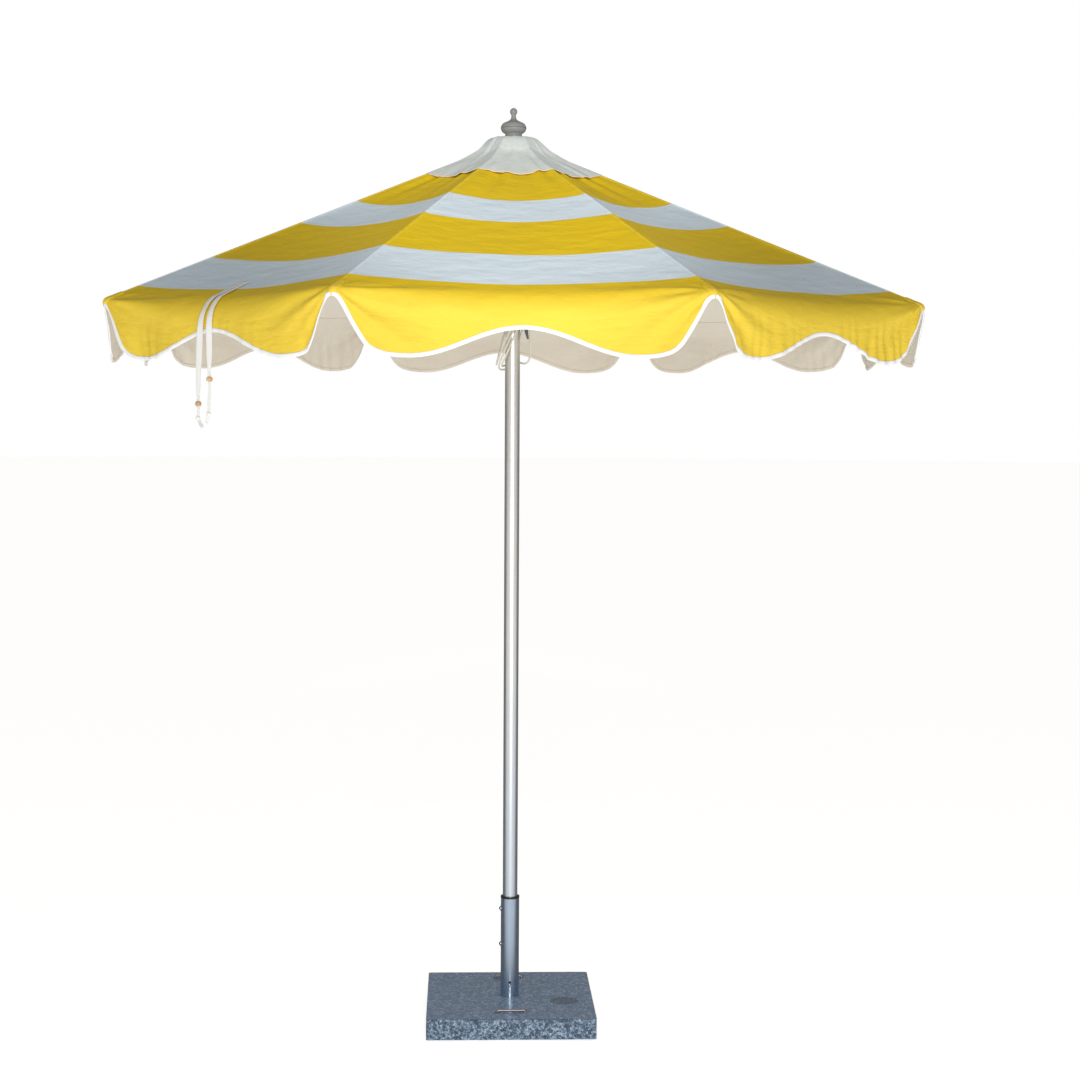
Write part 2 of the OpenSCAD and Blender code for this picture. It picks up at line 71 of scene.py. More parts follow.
class Wire:
    """One output socket of a material, with arithmetic that adds Math nodes."""

    def __init__(self, loom: "Loom", socket: bpy.types.NodeSocket) -> None:
        """Wraps a socket.

        Args:
            loom: The material that the socket belongs to.
            socket: The output socket.
        """
        self.loom = loom
        self.socket = socket

    def __add__(self, other: Value) -> "Wire":
        """Returns self + other."""
        return self.loom.math("ADD", self, other)

    __radd__ = __add__

    def __sub__(self, other: Value) -> "Wire":
        """Returns self - other."""
        return self.loom.math("SUBTRACT", self, other)

    def __rsub__(self, other: Value) -> "Wire":
        """Returns other - self."""
        return self.loom.math("SUBTRACT", other, self)

    def __mul__(self, other: Value) -> "Wire":
        """Returns self * other."""
        return self.loom.math("MULTIPLY", self, other)

    __rmul__ = __mul__

    def __truediv__(self, other: Value) -> "Wire":
        """Returns self / other."""
        return self.loom.math("DIVIDE", self, other)

    def __rtruediv__(self, other: Value) -> "Wire":
        """Returns other / self."""
        return self.loom.math("DIVIDE", other, self)

    def __pow__(self, other: Value) -> "Wire":
        """Returns self raised to other."""
        return self.loom.math("POWER", self, other)

    def sine(self) -> "Wire":
        """Returns the sine, in radians."""
        return self.loom.math("SINE", self)

    def size(self) -> "Wire":
        """Returns the absolute value."""
        return self.loom.math("ABSOLUTE", self)

    def cycle(self) -> "Wire":
        """Returns the fraction after the decimal point."""
        return self.loom.math("FRACT", self)

    def step(self, low: float, high: float) -> "Wire":
        """Rises smoothly from 0 to 1.

        Args:
            low: Where the rise starts.
            high: Where it ends; below low, it falls instead.

        Returns:
            The rise, from 0 to 1.
        """
        made = self.loom.node(
            "ShaderNodeMapRange",
            {"interpolation_type": "SMOOTHSTEP"},
            {"Value": self, "From Min": low, "From Max": high},
        )
        return Wire(self.loom, made.outputs["Result"])

    def band(self, low: float, high: float, soft: float) -> "Wire":
        """Returns 1 between low and high and 0 outside, with edges as wide as soft."""
        return self.step(low - soft, low + soft) * self.step(high + soft, high - soft)


class Loom:
    """Builds the nodes of one material, or of the room's light."""

    def __init__(self, name: str, room: Optional[bpy.types.World] = None) -> None:
        """Starts without a node.

        Args:
            name: The material's name.
            room: The world whose light is built, in place of a material.
        """
        self.material = room or bpy.data.materials.new(name)
        self.material.use_nodes = True
        self.tree = self.material.node_tree
        self.tree.nodes.clear()

    def node(
        self,
        kind: str,
        settings: Optional[dict[str, object]] = None,
        inputs: Optional[dict[Union[str, int], object]] = None,
    ) -> bpy.types.Node:
        """Adds one node.

        Args:
            kind: The node's type.
            settings: Its settings, set before its sockets; "stops" fills a ramp.
            inputs: Values or wires, by socket.

        Returns:
            The node.
        """
        made = self.tree.nodes.new(kind)
        for key, value in (settings or {}).items():
            if key == "stops":
                ramp = made.color_ramp
                while len(ramp.elements) < len(value):
                    ramp.elements.new(0.5)
                for stop, (place, colour) in zip(ramp.elements, value):
                    stop.position = place
                    stop.color = (*colour, 1.0)
            else:
                setattr(made, key, value)
        for key, value in (inputs or {}).items():
            socket = made.inputs[key]
            if isinstance(value, Wire):
                self.tree.links.new(value.socket, socket)
            elif socket.type == "RGBA" and len(value) == 3:
                socket.default_value = (*value, 1.0)
            else:
                socket.default_value = value
        return made

    def math(self, operation: str, *values: Value) -> Wire:
        """Adds a Math node.

        Args:
            operation: The node's operation.
            values: Its inputs, in order.

        Returns:
            Its result.
        """
        made = self.node("ShaderNodeMath", {"operation": operation}, dict(enumerate(values)))
        return Wire(self, made.outputs[0])

    def place(self, stretch: Colour = (1.0, 1.0, 1.0)) -> Wire:
        """Returns the position on the piece in metres, stretched along each axis."""
        coordinates = self.node("ShaderNodeTexCoord")
        made = self.node(
            "ShaderNodeMapping",
            None,
            {"Vector": Wire(self, coordinates.outputs["Object"]), "Scale": stretch},
        )
        return Wire(self, made.outputs["Vector"])

    def pattern(self, stretch: Colour = (1.0, 1.0, 1.0)) -> Wire:
        """Returns the place on the cut cloth or cord in metres, stretched along each axis."""
        made = self.node("ShaderNodeUVMap", {"uv_map": "cut"})
        mapped = self.node(
            "ShaderNodeMapping", None, {"Vector": Wire(self, made.outputs["UV"]), "Scale": stretch}
        )
        return Wire(self, mapped.outputs["Vector"])

    def rounded(self, radius: float) -> Wire:
        """Returns the normal with edges rounded by a radius in metres."""
        made = self.node("ShaderNodeBevel", {"samples": 4}, {"Radius": radius})
        return Wire(self, made.outputs["Normal"])

    def parts(self, vector: Wire) -> tuple[Wire, Wire, Wire]:
        """Splits a vector into its three numbers."""
        made = self.node("ShaderNodeSeparateXYZ", None, {"Vector": vector})
        return tuple(Wire(self, made.outputs[i]) for i in range(3))

    def cloud(self, vector: Wire, scale: float, detail: float = 3.0, rough: float = 0.55) -> Wire:
        """Adds noise.

        Args:
            vector: Where it is read.
            scale: Its features per metre.
            detail: How many finer layers it has.
            rough: How strong they are.

        Returns:
            The noise, about 0.5.
        """
        made = self.node(
            "ShaderNodeTexNoise",
            None,
            {"Vector": vector, "Scale": scale, "Detail": detail, "Roughness": rough},
        )
        return Wire(self, made.outputs[0])

    def cells(self, vector: Wire, scale: float, output: str = "Distance") -> Wire:
        """Adds a pattern of cells: the distance to each one's middle, or its own colour."""
        made = self.node("ShaderNodeTexVoronoi", None, {"Vector": vector, "Scale": scale})
        return Wire(self, made.outputs[output])

    def mix(self, share: Value, first: Value, second: Value) -> Wire:
        """Mixes two colours.

        Args:
            share: 0 gives the first colour and 1 the second.
            first: A colour.
            second: A colour.

        Returns:
            The mixed colour.
        """
        made = self.node(
            "ShaderNodeMix", {"data_type": "RGBA"}, {0: share, 6: first, 7: second}
        )
        return Wire(self, made.outputs[2])

    def ramp(self, share: Value, stops: Sequence[tuple[float, Colour]]) -> Wire:
        """Returns the colour of a ramp at a share from 0 to 1."""
        made = self.node("ShaderNodeValToRGB", {"stops": stops}, {"Fac": share})
        return Wire(self, made.outputs["Color"])

    def relief(self, height: Wire, depth: float, after: Optional[Wire] = None) -> Wire:
        """Turns a height into a bumped normal.

        Args:
            height: The height, from 0 to 1.
            depth: What a height of 1 stands for, in metres.
            after: A normal that is bumped already.

        Returns:
            The normal.
        """
        inputs = {"Height": height, "Distance": depth, "Strength": 1.0}
        if after is not None:
            inputs["Normal"] = after
        made = self.node("ShaderNodeBump", None, inputs)
        return Wire(self, made.outputs["Normal"])

    def finish(self, **sockets: object) -> bpy.types.Material:
        """Adds the surface shader and the output.

        Args:
            sockets: The shader's sockets, with an underscore for each space.

        Returns:
            The finished material.
        """
        shader = self.node(
            "ShaderNodeBsdfPrincipled",
            None,
            {key.replace("_", " "): value for key, value in sockets.items()},
        )
        output = self.node("ShaderNodeOutputMaterial")
        self.tree.links.new(shader.outputs[0], output.inputs["Surface"])
        return self.material


# ---- finishes ----


@dataclass(frozen=True)
class Weave:
    """Plain-woven canvas: its threads and its slubs."""

    thread: float = 0.0011
    depth: float = 0.00009

    def height(self, loom: Loom) -> Wire:
        """Returns the threads' height, from 0 to 1."""
        across, along, _ = loom.parts(loom.pattern())
        turns = math.tau / self.thread
        warp = (across * turns).sine()
        weft = (along * turns).sine()
        return warp * weft * 0.5 + 0.5

    def slubs(self, loom: Loom) -> Wire:
        """Returns uneven threads that run both ways, about 0.5."""
        one = loom.cloud(loom.pattern((900.0, 24.0, 1.0)), 1.0, 2.0)
        other = loom.cloud(loom.pattern((24.0, 900.0, 1.0)), 1.0, 2.0)
        return (one + other) * 0.5

    def relief(self, loom: Loom, slubs: Wire) -> Wire:
        """Returns the normal that the threads and the slubs give."""
        return loom.relief(self.height(loom) + slubs * 1.4, self.depth)


@dataclass(frozen=True)
class StripedCanvas:
    """The canopy's outer face: yellow canvas with two white bands, measured down the ribs."""

    yellow: Colour = (0.84, 0.585, 0.010)
    white: Colour = (0.72, 0.83, 0.90)
    shaded_yellow: Colour = (0.34, 0.22, 0.001)
    shaded_white: Colour = (0.36, 0.42, 0.44)
    bands: tuple[Pair, ...] = ((0.4415, 0.592), (0.825, 1.013))
    # Paler, less saturated yellow on the valance: a painted highlight
    valance_highlight_yellow: Colour = (0.86, 0.62, 0.055)
    hang: Pair = (1.02, 1.13)
    stitch: float = 0.0036
    weave: Weave = Weave()

    def material(self) -> bpy.types.Material:
        """Returns the finish."""
        loom = Loom("striped_canvas")
        across, along, _ = loom.parts(loom.pattern())
        first, second = (along.band(low, high, 0.0006) for low, high in self.bands)
        share = first + second
        drift = loom.cloud(loom.pattern(), 7.0, 4.0)
        slubs = self.weave.slubs(loom)
        tone = drift * 0.10 + slubs * 0.14 + 0.88
        # Below the hang the cloth takes the paler yellow, a painted highlight on the valance
        yellow = loom.mix(along.step(*self.hang), self.yellow, self.valance_highlight_yellow)
        base = loom.mix(share, yellow, self.white)
        edge = along * math.sin(math.radians(22.5)) - across.size()
        dash = (along / self.stitch).cycle().band(0.18, 0.82, 0.08)
        sewn = edge.band(0.0055, 0.0066, 0.0004) * dash
        worn = loom.mix(share, self.shaded_yellow, self.shaded_white)
        shade = loom.mix(1.0 - tone, base, worn)
        colour = loom.mix(sewn * 0.30, shade, (0.72, 0.66, 0.42))
        weave = self.weave.relief(loom, slubs)
        folds = loom.cloud(loom.pattern((1.0, 1.7, 1.0)), 16.0, 3.0, 0.5)
        bumped = loom.relief(folds + sewn * 0.08, 0.0040, weave)
        return loom.finish(
            Base_Color=colour, Roughness=0.56, Specular_IOR_Level=0.20, Normal=bumped,
        )


@dataclass(frozen=True)
class PlainCanvas:
    """One-colour cloth: the lining side, the vent cap, its hem's cream painted shade, the hem
    binding.
    """

    name: str
    colour: Colour
    soiling: Colour
    fold_depth: float = 0.003
    fold_scale: float = 18.0
    weave: Weave = Weave()

    def material(self) -> bpy.types.Material:
        """Returns the finish."""
        loom = Loom(self.name)
        drift = loom.cloud(loom.pattern(), 9.0, 4.0)
        slubs = self.weave.slubs(loom)
        share = (drift - 0.35) * 0.30 + (slubs - 0.5) * 0.25
        colour = loom.mix(share, self.colour, self.soiling)
        weave = self.weave.relief(loom, slubs)
        folds = loom.cloud(loom.pattern(), self.fold_scale, 3.0, 0.5)
        return loom.finish(
            Base_Color=colour, Roughness=0.85, Specular_IOR_Level=0.2,
            Normal=loom.relief(folds, self.fold_depth, weave), Sheen_Weight=0.1,
        )


@dataclass(frozen=True)
class Webbing:
    """Narrow ribbed tape."""

    colour: Colour = (0.86, 0.86, 0.83)
    rib: float = 0.0012

    def material(self) -> bpy.types.Material:
        """Returns the finish."""
        loom = Loom("tape_webbing")
        across, along, _ = loom.parts(loom.pattern())
        ribs = (along * (math.tau / self.rib)).sine() * 0.5 + 0.5
        threads = (across * (math.tau / 0.0008)).sine() * 0.5 + 0.5
        drift = loom.cloud(loom.pattern(), 60.0)
        colour = loom.mix(ribs * 0.18 + drift * 0.12, self.colour, (0.50, 0.50, 0.48))
        return loom.finish(
            Base_Color=colour, Roughness=0.8, Specular_IOR_Level=0.2,
            Normal=loom.relief(ribs + threads * 0.5, 0.00018),
        )


@dataclass(frozen=True)
class BraidedCord:
    """Braided cord: two sets of strands that cross round it."""

    colour: Colour = (0.70, 0.66, 0.56)
    pitch: float = 0.011
    strands: int = 6

    def material(self) -> bpy.types.Material:
        """Returns the finish. The cut map holds the turn round the cord and the way along it."""
        loom = Loom("braided_cord")
        turn, along, _ = loom.parts(loom.pattern())
        right = ((turn + along / self.pitch) * (math.tau * self.strands / 2)).sine()
        left = ((turn - along / self.pitch) * (math.tau * self.strands / 2)).sine()
        braid = loom.math("MAXIMUM", right, left) * 0.5 + 0.5
        fuzz = loom.cloud(loom.place(), 900.0, 2.0)
        # The ramp follows the braid's height: painted shade in the gaps between strands and painted
        # highlight on their crowns
        colour = loom.ramp(
            braid * 0.75 + fuzz * 0.25,
            [(0.15, (0.30, 0.27, 0.21)), (0.55, self.colour), (0.95, (0.80, 0.77, 0.68))],
        )
        return loom.finish(
            Base_Color=colour, Roughness=0.85, Specular_IOR_Level=0.2,
            Normal=loom.relief(braid + fuzz * 0.3, 0.0004), Sheen_Weight=0.15,
        )


@dataclass(frozen=True)
class Granite:
    """Blue-grey granite: polished on top, split and coarse round the sides."""

    top: float
    dark: Colour = (0.032, 0.046, 0.075)
    middle: Colour = (0.17, 0.265, 0.43)
    light: Colour = (0.42, 0.54, 0.70)
    dark_oval: Colour = (0.035, 0.045, 0.065)

    def material(self) -> bpy.types.Material:
        """Returns the finish."""
        loom = Loom("granite")
        place = loom.place()
        _, _, height = loom.parts(place)
        polished = height.step(self.top - 0.0012, self.top - 0.0002)
        warped = loom.cloud(place, 95.0, 5.0, 0.6)
        grain = loom.cloud(place, 330.0, 4.0, 0.65)
        crystal = loom.parts(loom.cells(place, 210.0, "Color"))[0]
        fleck = loom.parts(loom.cells(place, 420.0, "Color"))[1]
        speckle = warped * 0.42 + grain * 0.36 + crystal * 0.14 + fleck * 0.10
        top = loom.ramp(
            speckle,
            [(0.27, self.dark), (0.38, self.middle), (0.51, self.middle), (0.60, self.light)],
        )
        side = loom.ramp(
            speckle,
            [(0.40, self.dark), (0.49, (0.080, 0.125, 0.19)), (0.56, (0.185, 0.275, 0.39)),
             (0.64, (0.42, 0.52, 0.63))],
        )
        # A darker oval on the top, to the right of the tube
        oval_x, oval_y, _ = loom.parts(place)
        far = (oval_x - 0.146) ** 2.0 / 0.0016 + (oval_y + 0.058) ** 2.0 / 0.0013
        dark_oval = far.step(1.15, 0.80) * 0.50
        colour = loom.mix(polished, side, loom.mix(dark_oval, top, self.dark_oval))
        chisel = loom.cloud(place, 60.0, 6.0, 0.7) + grain * 0.4
        rough = 0.62 - polished * 0.40 + warped * 0.08
        split = loom.node(
            "ShaderNodeBump",
            None,
            {
                "Height": chisel * (1.0 - polished) + grain * polished * 0.01,
                "Distance": 0.0045, "Strength": 0.75, "Normal": loom.rounded(0.0028),
            },
        )
        return loom.finish(
            Base_Color=colour, Roughness=rough, Specular_IOR_Level=0.5,
            Normal=Wire(loom, split.outputs["Normal"]),
        )


class Draw(Enum):
    """The way a metal's drawing or polishing lines run."""

    UPRIGHT = (300.0, 300.0, 1.2)
    NONE = (90.0, 90.0, 90.0)


@dataclass(frozen=True)
class Metal:
    """Bare or anodised metal with fine drawing lines and soft wear."""

    name: str
    colour: Colour
    roughness: float = 0.3
    lines: Draw = Draw.UPRIGHT
    wear: float = 0.10
    scratch: float = 0.00004
    foot: Optional[Colour] = None
    foot_span: Pair = (0.35, 1.30)

    def material(self) -> bpy.types.Material:
        """Returns the finish."""
        loom = Loom(self.name)
        fine = loom.cloud(loom.place(self.lines.value), 1.0, 4.0, 0.6)
        broad = loom.cloud(loom.place((1.0, 1.0, 0.5)), 14.0, 3.0)
        dull = tuple(c * 0.62 for c in self.colour)
        clean = self.colour
        if self.foot:
            height = loom.parts(loom.place())[2]
            clean = loom.mix(height.step(*self.foot_span), self.foot, self.colour)
        colour = loom.mix((broad - 0.4) * 0.5 + (fine - 0.5) * 0.35, clean, dull)
        rough = fine * self.wear + broad * self.wear + (self.roughness - self.wear)
        return loom.finish(
            Base_Color=colour, Metallic=1.0, Roughness=rough,
            Normal=loom.relief(fine, self.scratch, loom.rounded(0.0008)),
        )


@dataclass(frozen=True)
class Moulded:
    """Moulded plastic or rubber, with a fine grain and scuffs."""

    name: str
    colour: Colour
    roughness: float = 0.45
    grain: float = 0.00005
    scuff: Colour = (0.5, 0.5, 0.5)

    def material(self) -> bpy.types.Material:
        """Returns the finish."""
        loom = Loom(self.name)
        place = loom.place()
        fine = loom.cloud(place, 1400.0, 3.0)
        broad = loom.cloud(place, 38.0, 5.0, 0.65)
        scuffs = broad.step(0.60, 0.78) * 0.18
        colour = loom.mix(scuffs + (fine - 0.5) * 0.06, self.colour, self.scuff)
        rough = broad * 0.16 + fine * 0.06 + (self.roughness - 0.11)
        return loom.finish(
            Base_Color=colour, Roughness=rough, Specular_IOR_Level=0.45,
            Normal=loom.relief(fine, self.grain, loom.rounded(0.0010)),
        )


@dataclass(frozen=True)
class TurnedWood:
    """Lacquered beech with its growth rings."""

    rings: float = 90.0

    def material(self) -> bpy.types.Material:
        """Returns the finish."""
        loom = Loom("turned_wood")
        place = loom.place((1.0, 1.0, 0.22))
        grain = loom.cloud(place, 420.0, 4.0, 0.6)
        rings = ((loom.cloud(place, self.rings, 2.0) * 26.0).sine()) * 0.5 + 0.5
        colour = loom.ramp(
            grain * 0.55 + rings * 0.45,
            [(0.2, (0.50, 0.30, 0.13)), (0.55, (0.68, 0.44, 0.21)), (0.9, (0.80, 0.57, 0.31))],
        )
        return loom.finish(
            Base_Color=colour, Roughness=0.42, Coat_Weight=0.25,
            Normal=loom.relief(grain, 0.00008),
        )


class Finishes:
    """Every finish of the umbrella, made once."""

    def __init__(self) -> None:
        """Makes the materials."""
        self.canvas = StripedCanvas().material()
        self.lining = PlainCanvas(
            "canvas_lining", (0.68, 0.63, 0.54), (0.56, 0.50, 0.41), 0.0030, 16.0
        ).material()
        self.cap = PlainCanvas(
            "cap_canvas", (0.74, 0.79, 0.76), (0.60, 0.645, 0.61), 0.0036, 26.0
        ).material()
        # Cream band along the cap's hem: painted shade where the hem stands off the canopy
        self.cap_hem_shade = PlainCanvas(
            "cap_hem_shade", (0.86, 0.78, 0.64), (0.74, 0.64, 0.48), 0.0008, 60.0
        ).material()
        self.binding = PlainCanvas(
            "hem_binding", (0.88, 0.89, 0.90), (0.70, 0.71, 0.72), 0.0008, 70.0
        ).material()
        self.webbing = Webbing().material()
        self.cord = BraidedCord().material()
        self.granite = Granite(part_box("granite_slab")[1][2]).material()
        self.pole = Metal(
            "pole_aluminium", (0.80, 0.79, 0.765), 0.31, wear=0.04, foot=(0.60, 0.665, 0.73)
        ).material()
        self.ribs = Metal("rib_aluminium", (0.66, 0.66, 0.67), 0.38).material()
        self.tube = Metal("satin_steel", (0.40, 0.49, 0.61), 0.24, wear=0.08).material()
        self.bright = Metal("bright_steel", (0.72, 0.70, 0.69), 0.12, Draw.NONE, 0.05).material()
        self.handle = Metal("worn_steel", (0.36, 0.32, 0.33), 0.42, Draw.NONE, 0.08).material()
        self.dark = Metal("dark_steel", (0.045, 0.046, 0.052), 0.42, Draw.NONE).material()
        self.black = Moulded("black_plastic", (0.016, 0.016, 0.018), 0.38).material()
        self.rubber = Moulded("rubber", (0.022, 0.022, 0.024), 0.72, 0.00012).material()
        self.white = Moulded(
            "white_plastic", (0.74, 0.75, 0.75), 0.42, scuff=(0.5, 0.51, 0.52)
        ).material()
        self.grey = Moulded(
            "grey_plastic", (0.295, 0.298, 0.289), 0.44, scuff=(0.36, 0.36, 0.36)
        ).material()
        self.slate = Moulded("dark_plastic", (0.050, 0.055, 0.062), 0.40).material()
        self.wood = TurnedWood().material()


# ---- mesh tools ----


class Bench:
    """The mesh operations that several pieces share."""

    @staticmethod
    def grid(
        columns: int,
        rows: int,
        place: Callable[[float, float], Vector],
        cut: Callable[[float, float], Pair],
        slot: Optional[Callable[[float, float], int]] = None,
        weight: Optional[Callable[[float, float], float]] = None,
    ) -> bmesh.types.BMesh:
        """Lays a flat grid over a surface.

        Args:
            columns: Faces across.
            rows: Faces along.
            place: The point on the surface for shares across and along, from 0 to 1.
            cut: The place on the cut cloth for the same shares.
            slot: The material slot of a face whose middle has these shares.
            weight: The share of the full thickness that the cloth has at these shares.

        Returns:
            The mesh, with its cut map.
        """
        mesh = bmesh.new()
        mesh.loops.layers.uv.new("cut")
        group = mesh.verts.layers.deform.verify() if weight is not None else None
        bmesh.ops.create_grid(
            mesh, x_segments=columns, y_segments=rows, size=0.5, calc_uvs=True
        )
        shares = {v: (v.co.x + 0.5, v.co.y + 0.5) for v in mesh.verts}
        layer = mesh.loops.layers.uv["cut"]
        for face in mesh.faces:
            for loop in face.loops:
                loop[layer].uv = cut(*shares[loop.vert])
            if slot is not None:
                middle = face.calc_center_median()
                face.material_index = slot(middle.x + 0.5, middle.y + 0.5)
        for vert, (across, along) in shares.items():
            if weight is not None:
                vert[group][0] = weight(across, along)
            vert.co = place(across, along)
        return mesh

    @staticmethod
    def close(mesh: bmesh.types.BMesh, gap: float = 0.00002) -> None:
        """Closes a wrapped grid into a tube with round ends.

        Args:
            mesh: The mesh, changed in place.
            gap: How close two points are to be one.
        """
        bmesh.ops.remove_doubles(mesh, verts=mesh.verts, dist=gap)
        rims = [e for e in mesh.edges if e.is_boundary]
        if rims:
            bmesh.ops.holes_fill(mesh, edges=rims, sides=0)
        bmesh.ops.recalc_face_normals(mesh, faces=mesh.faces)

    @staticmethod
    def face_out(mesh: bmesh.types.BMesh, away: Callable[[Vector], Vector]) -> None:
        """Turns an open sheet so that its faces look outwards.

        Args:
            mesh: The mesh, changed in place.
            away: The outward direction at a point.
        """
        mesh.normal_update()
        total = sum(f.normal.dot(away(f.calc_center_median())) for f in mesh.faces)
        if total < 0:
            bmesh.ops.reverse_faces(mesh, faces=mesh.faces)

    @staticmethod
    def piece(
        mesh: bmesh.types.BMesh, name: str, materials: Sequence[bpy.types.Material]
    ) -> bpy.types.Object:
        """Makes an object of a mesh.

        Args:
            mesh: The mesh, which is freed.
            name: The piece's name.
            materials: Its materials, in slot order.

        Returns:
            The object, at the origin.
        """
        data = bpy.data.meshes.new(name)
        mesh.to_mesh(data)
        mesh.free()
        for material in materials:
            data.materials.append(material)
        data.polygons.foreach_set("use_smooth", [True] * len(data.polygons))
        made = bpy.data.objects.new(name, data)
        bpy.context.scene.collection.objects.link(made)
        return made

    @staticmethod
    def wall(
        made: bpy.types.Object, thickness: float, inner: int = 0, tapered: bool = False
    ) -> None:
        """Gives a sheet its thickness, inwards.

        Args:
            made: The sheet.
            thickness: In metres.
            inner: How many slots further the inner face's material is.
            tapered: Whether the sheet's own weights thin it.
        """
        solid = made.modifiers.new("wall", "SOLIDIFY")
        if tapered:
            made.vertex_groups.new(name="thickness")
            solid.vertex_group = "thickness"
        solid.thickness = thickness
        solid.offset = -1.0
        solid.material_offset = inner
        solid.material_offset_rim = inner

    @staticmethod
    def smooth_route(points: Sequence[Vector], spacing: float, passes: int = 6) -> list[Vector]:
        """Draws one smooth curve through given points.

        Args:
            points: The points, in order.
            spacing: The distance between the curve's own points.
            passes: How often it is eased.

        Returns:
            The curve's points.
        """
        fine: list[Vector] = []
        for i in range(len(points) - 1):
            before = points[max(i - 1, 0)]
            start, end = points[i], points[i + 1]
            after = points[min(i + 2, len(points) - 1)]
            steps = max(2, round((end - start).length / spacing))
            for n in range(steps):
                t = n / steps
                fine.append(
                    0.5 * (2 * start + (end - before) * t
                           + (2 * before - 5 * start + 4 * end - after) * t * t
                           + (3 * start - before - 3 * end + after) * t * t * t)
                )
        fine.append(points[-1].copy())
        for _ in range(passes):
            eased = [fine[0]]
            for i in range(1, len(fine) - 1):
                eased.append(fine[i] * 0.5 + (fine[i - 1] + fine[i + 1]) * 0.25)
            fine = [*eased, fine[-1]]
        return fine

    @staticmethod
    def frames(route: Sequence[Vector], side: Vector) -> list[tuple[Vector, Vector, float]]:
        """Carries a frame along a route without twisting it.

        Args:
            route: The route's points.
            side: The side direction at its start.

        Returns:
            For each point, the side and up directions and the way from the start.
        """
        made, way = [], 0.0
        for i, point in enumerate(route):
            ahead = (route[min(i + 1, len(route) - 1)] - route[max(i - 1, 0)]).normalized()
            side = (side - ahead * side.dot(ahead)).normalized()
            if i:
                way += (point - route[i - 1]).length
            made.append((side.copy(), ahead.cross(side), way))
        return made

    @classmethod
    def tube(
        cls,
        route: Sequence[Vector],
        section: Callable[[float, float], Pair],
        side: Vector,
        around: int = 10,
        wide: float = 1.0,
    ) -> bmesh.types.BMesh:
        """Sweeps a section along a route.

        Args:
            route: The route's points.
            section: The offsets to the side and up, for a turn and a share along.
            side: The side direction at the start.
            around: Faces round the section.
            wide: How much of the cut map one turn takes.

        Returns:
            The closed mesh.
        """
        carried = cls.frames(route, side)
        last = len(route) - 1

        def place(turn: float, share: float) -> Vector:
            """Returns a point of the swept surface."""
            i = min(round(share * last), last)
            right, up, _ = carried[i]
            x, y = section(turn, share)
            return route[i] + right * x + up * y

        mesh = cls.grid(
            around, last, place, lambda turn, share: (turn * wide, carried[round(share * last)][2])
        )
        cls.close(mesh)
        return mesh

    @staticmethod
    def spun(profile: Sequence[Pair], steps: int = 96) -> bmesh.types.BMesh:
        """Spins a profile about the Z axis.

        Args:
            profile: Distances out and heights, from one end to the other.
            steps: Faces round it.

        Returns:
            The closed mesh.
        """
        mesh = bmesh.new()
        mesh.loops.layers.uv.new("cut")
        verts = [mesh.verts.new((out, 0.0, height)) for out, height in profile]
        edges = [mesh.edges.new(pair) for pair in zip(verts, verts[1:])]
        bmesh.ops.spin(
            mesh, geom=verts + edges, cent=(0, 0, 0), axis=(0, 0, 1), dvec=(0, 0, 0),
            angle=math.tau, steps=steps, use_merge=True,
        )
        bmesh.ops.remove_doubles(mesh, verts=mesh.verts, dist=0.00001)
        bmesh.ops.recalc_face_normals(mesh, faces=mesh.faces)
        return mesh


def dress(material: bpy.types.Material, *names: str) -> None:
    """Gives CAD nodes a finish.

    Args:
        material: The finish.
        names: The nodes.
    """
    for name in names:
        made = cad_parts[name]
        for holder in made.material_slots:
            holder.material = material
        LOG.info("dressed %s in %s", name, material.name)


def curve_at(table: Sequence[Pair], at: float) -> float:
    """Reads a smooth curve through a table.

    Args:
        table: Places and values, in rising order of place.
        at: Where it is read.

    Returns:
        The value.
    """
    last = len(table) - 1
    at = min(max(at, table[0][0]), table[last][0])
    i = next(n for n in range(last) if at <= table[n + 1][0] + 1e-9)
    (a, low), (b, high) = table[i], table[i + 1]
    before, after = table[max(i - 1, 0)], table[min(i + 2, last)]
    begin = (high - before[1]) / (b - before[0]) * (b - a)
    stop = (after[1] - low) / (after[0] - a) * (b - a)
    t = (at - a) / (b - a)
    return (low * (1 + 2 * t) * (1 - t) ** 2 + begin * t * (1 - t) ** 2
            + high * t * t * (3 - 2 * t) + stop * t * t * (t - 1))


def held(share: float, rows: int, first: bool = False, last: bool = False) -> float:
    """Draws a grid's end rows close to its edge, so that the cloth's rim shades crisply.

    Args:
        share: The share along the grid.
        rows: How many rows it has.
        first: Whether the first row is drawn close.
        last: Whether the last row is.

    Returns:
        The changed share.
    """
    row, tiny = 1 / rows, 0.0008
    if last:
        share = 1.0 if share > 1 - row / 2 else share / (1 - row) * (1 - tiny)
    if first:
        share = 0.0 if share < row / 2 else tiny + (share - row) / (1 - row) * (1 - tiny)
    return share


def rise(at: float, low: float, high: float) -> float:
    """Returns a smooth step from 0 at low to 1 at high."""
    t = min(1.0, max(0.0, (at - low) / (high - low)))
    return t * t * (3 - 2 * t)


def mm(*numbers: float) -> Vector:
    """Returns a point given in millimetres."""
    return Vector(numbers) * 0.001


# ---- studio ----


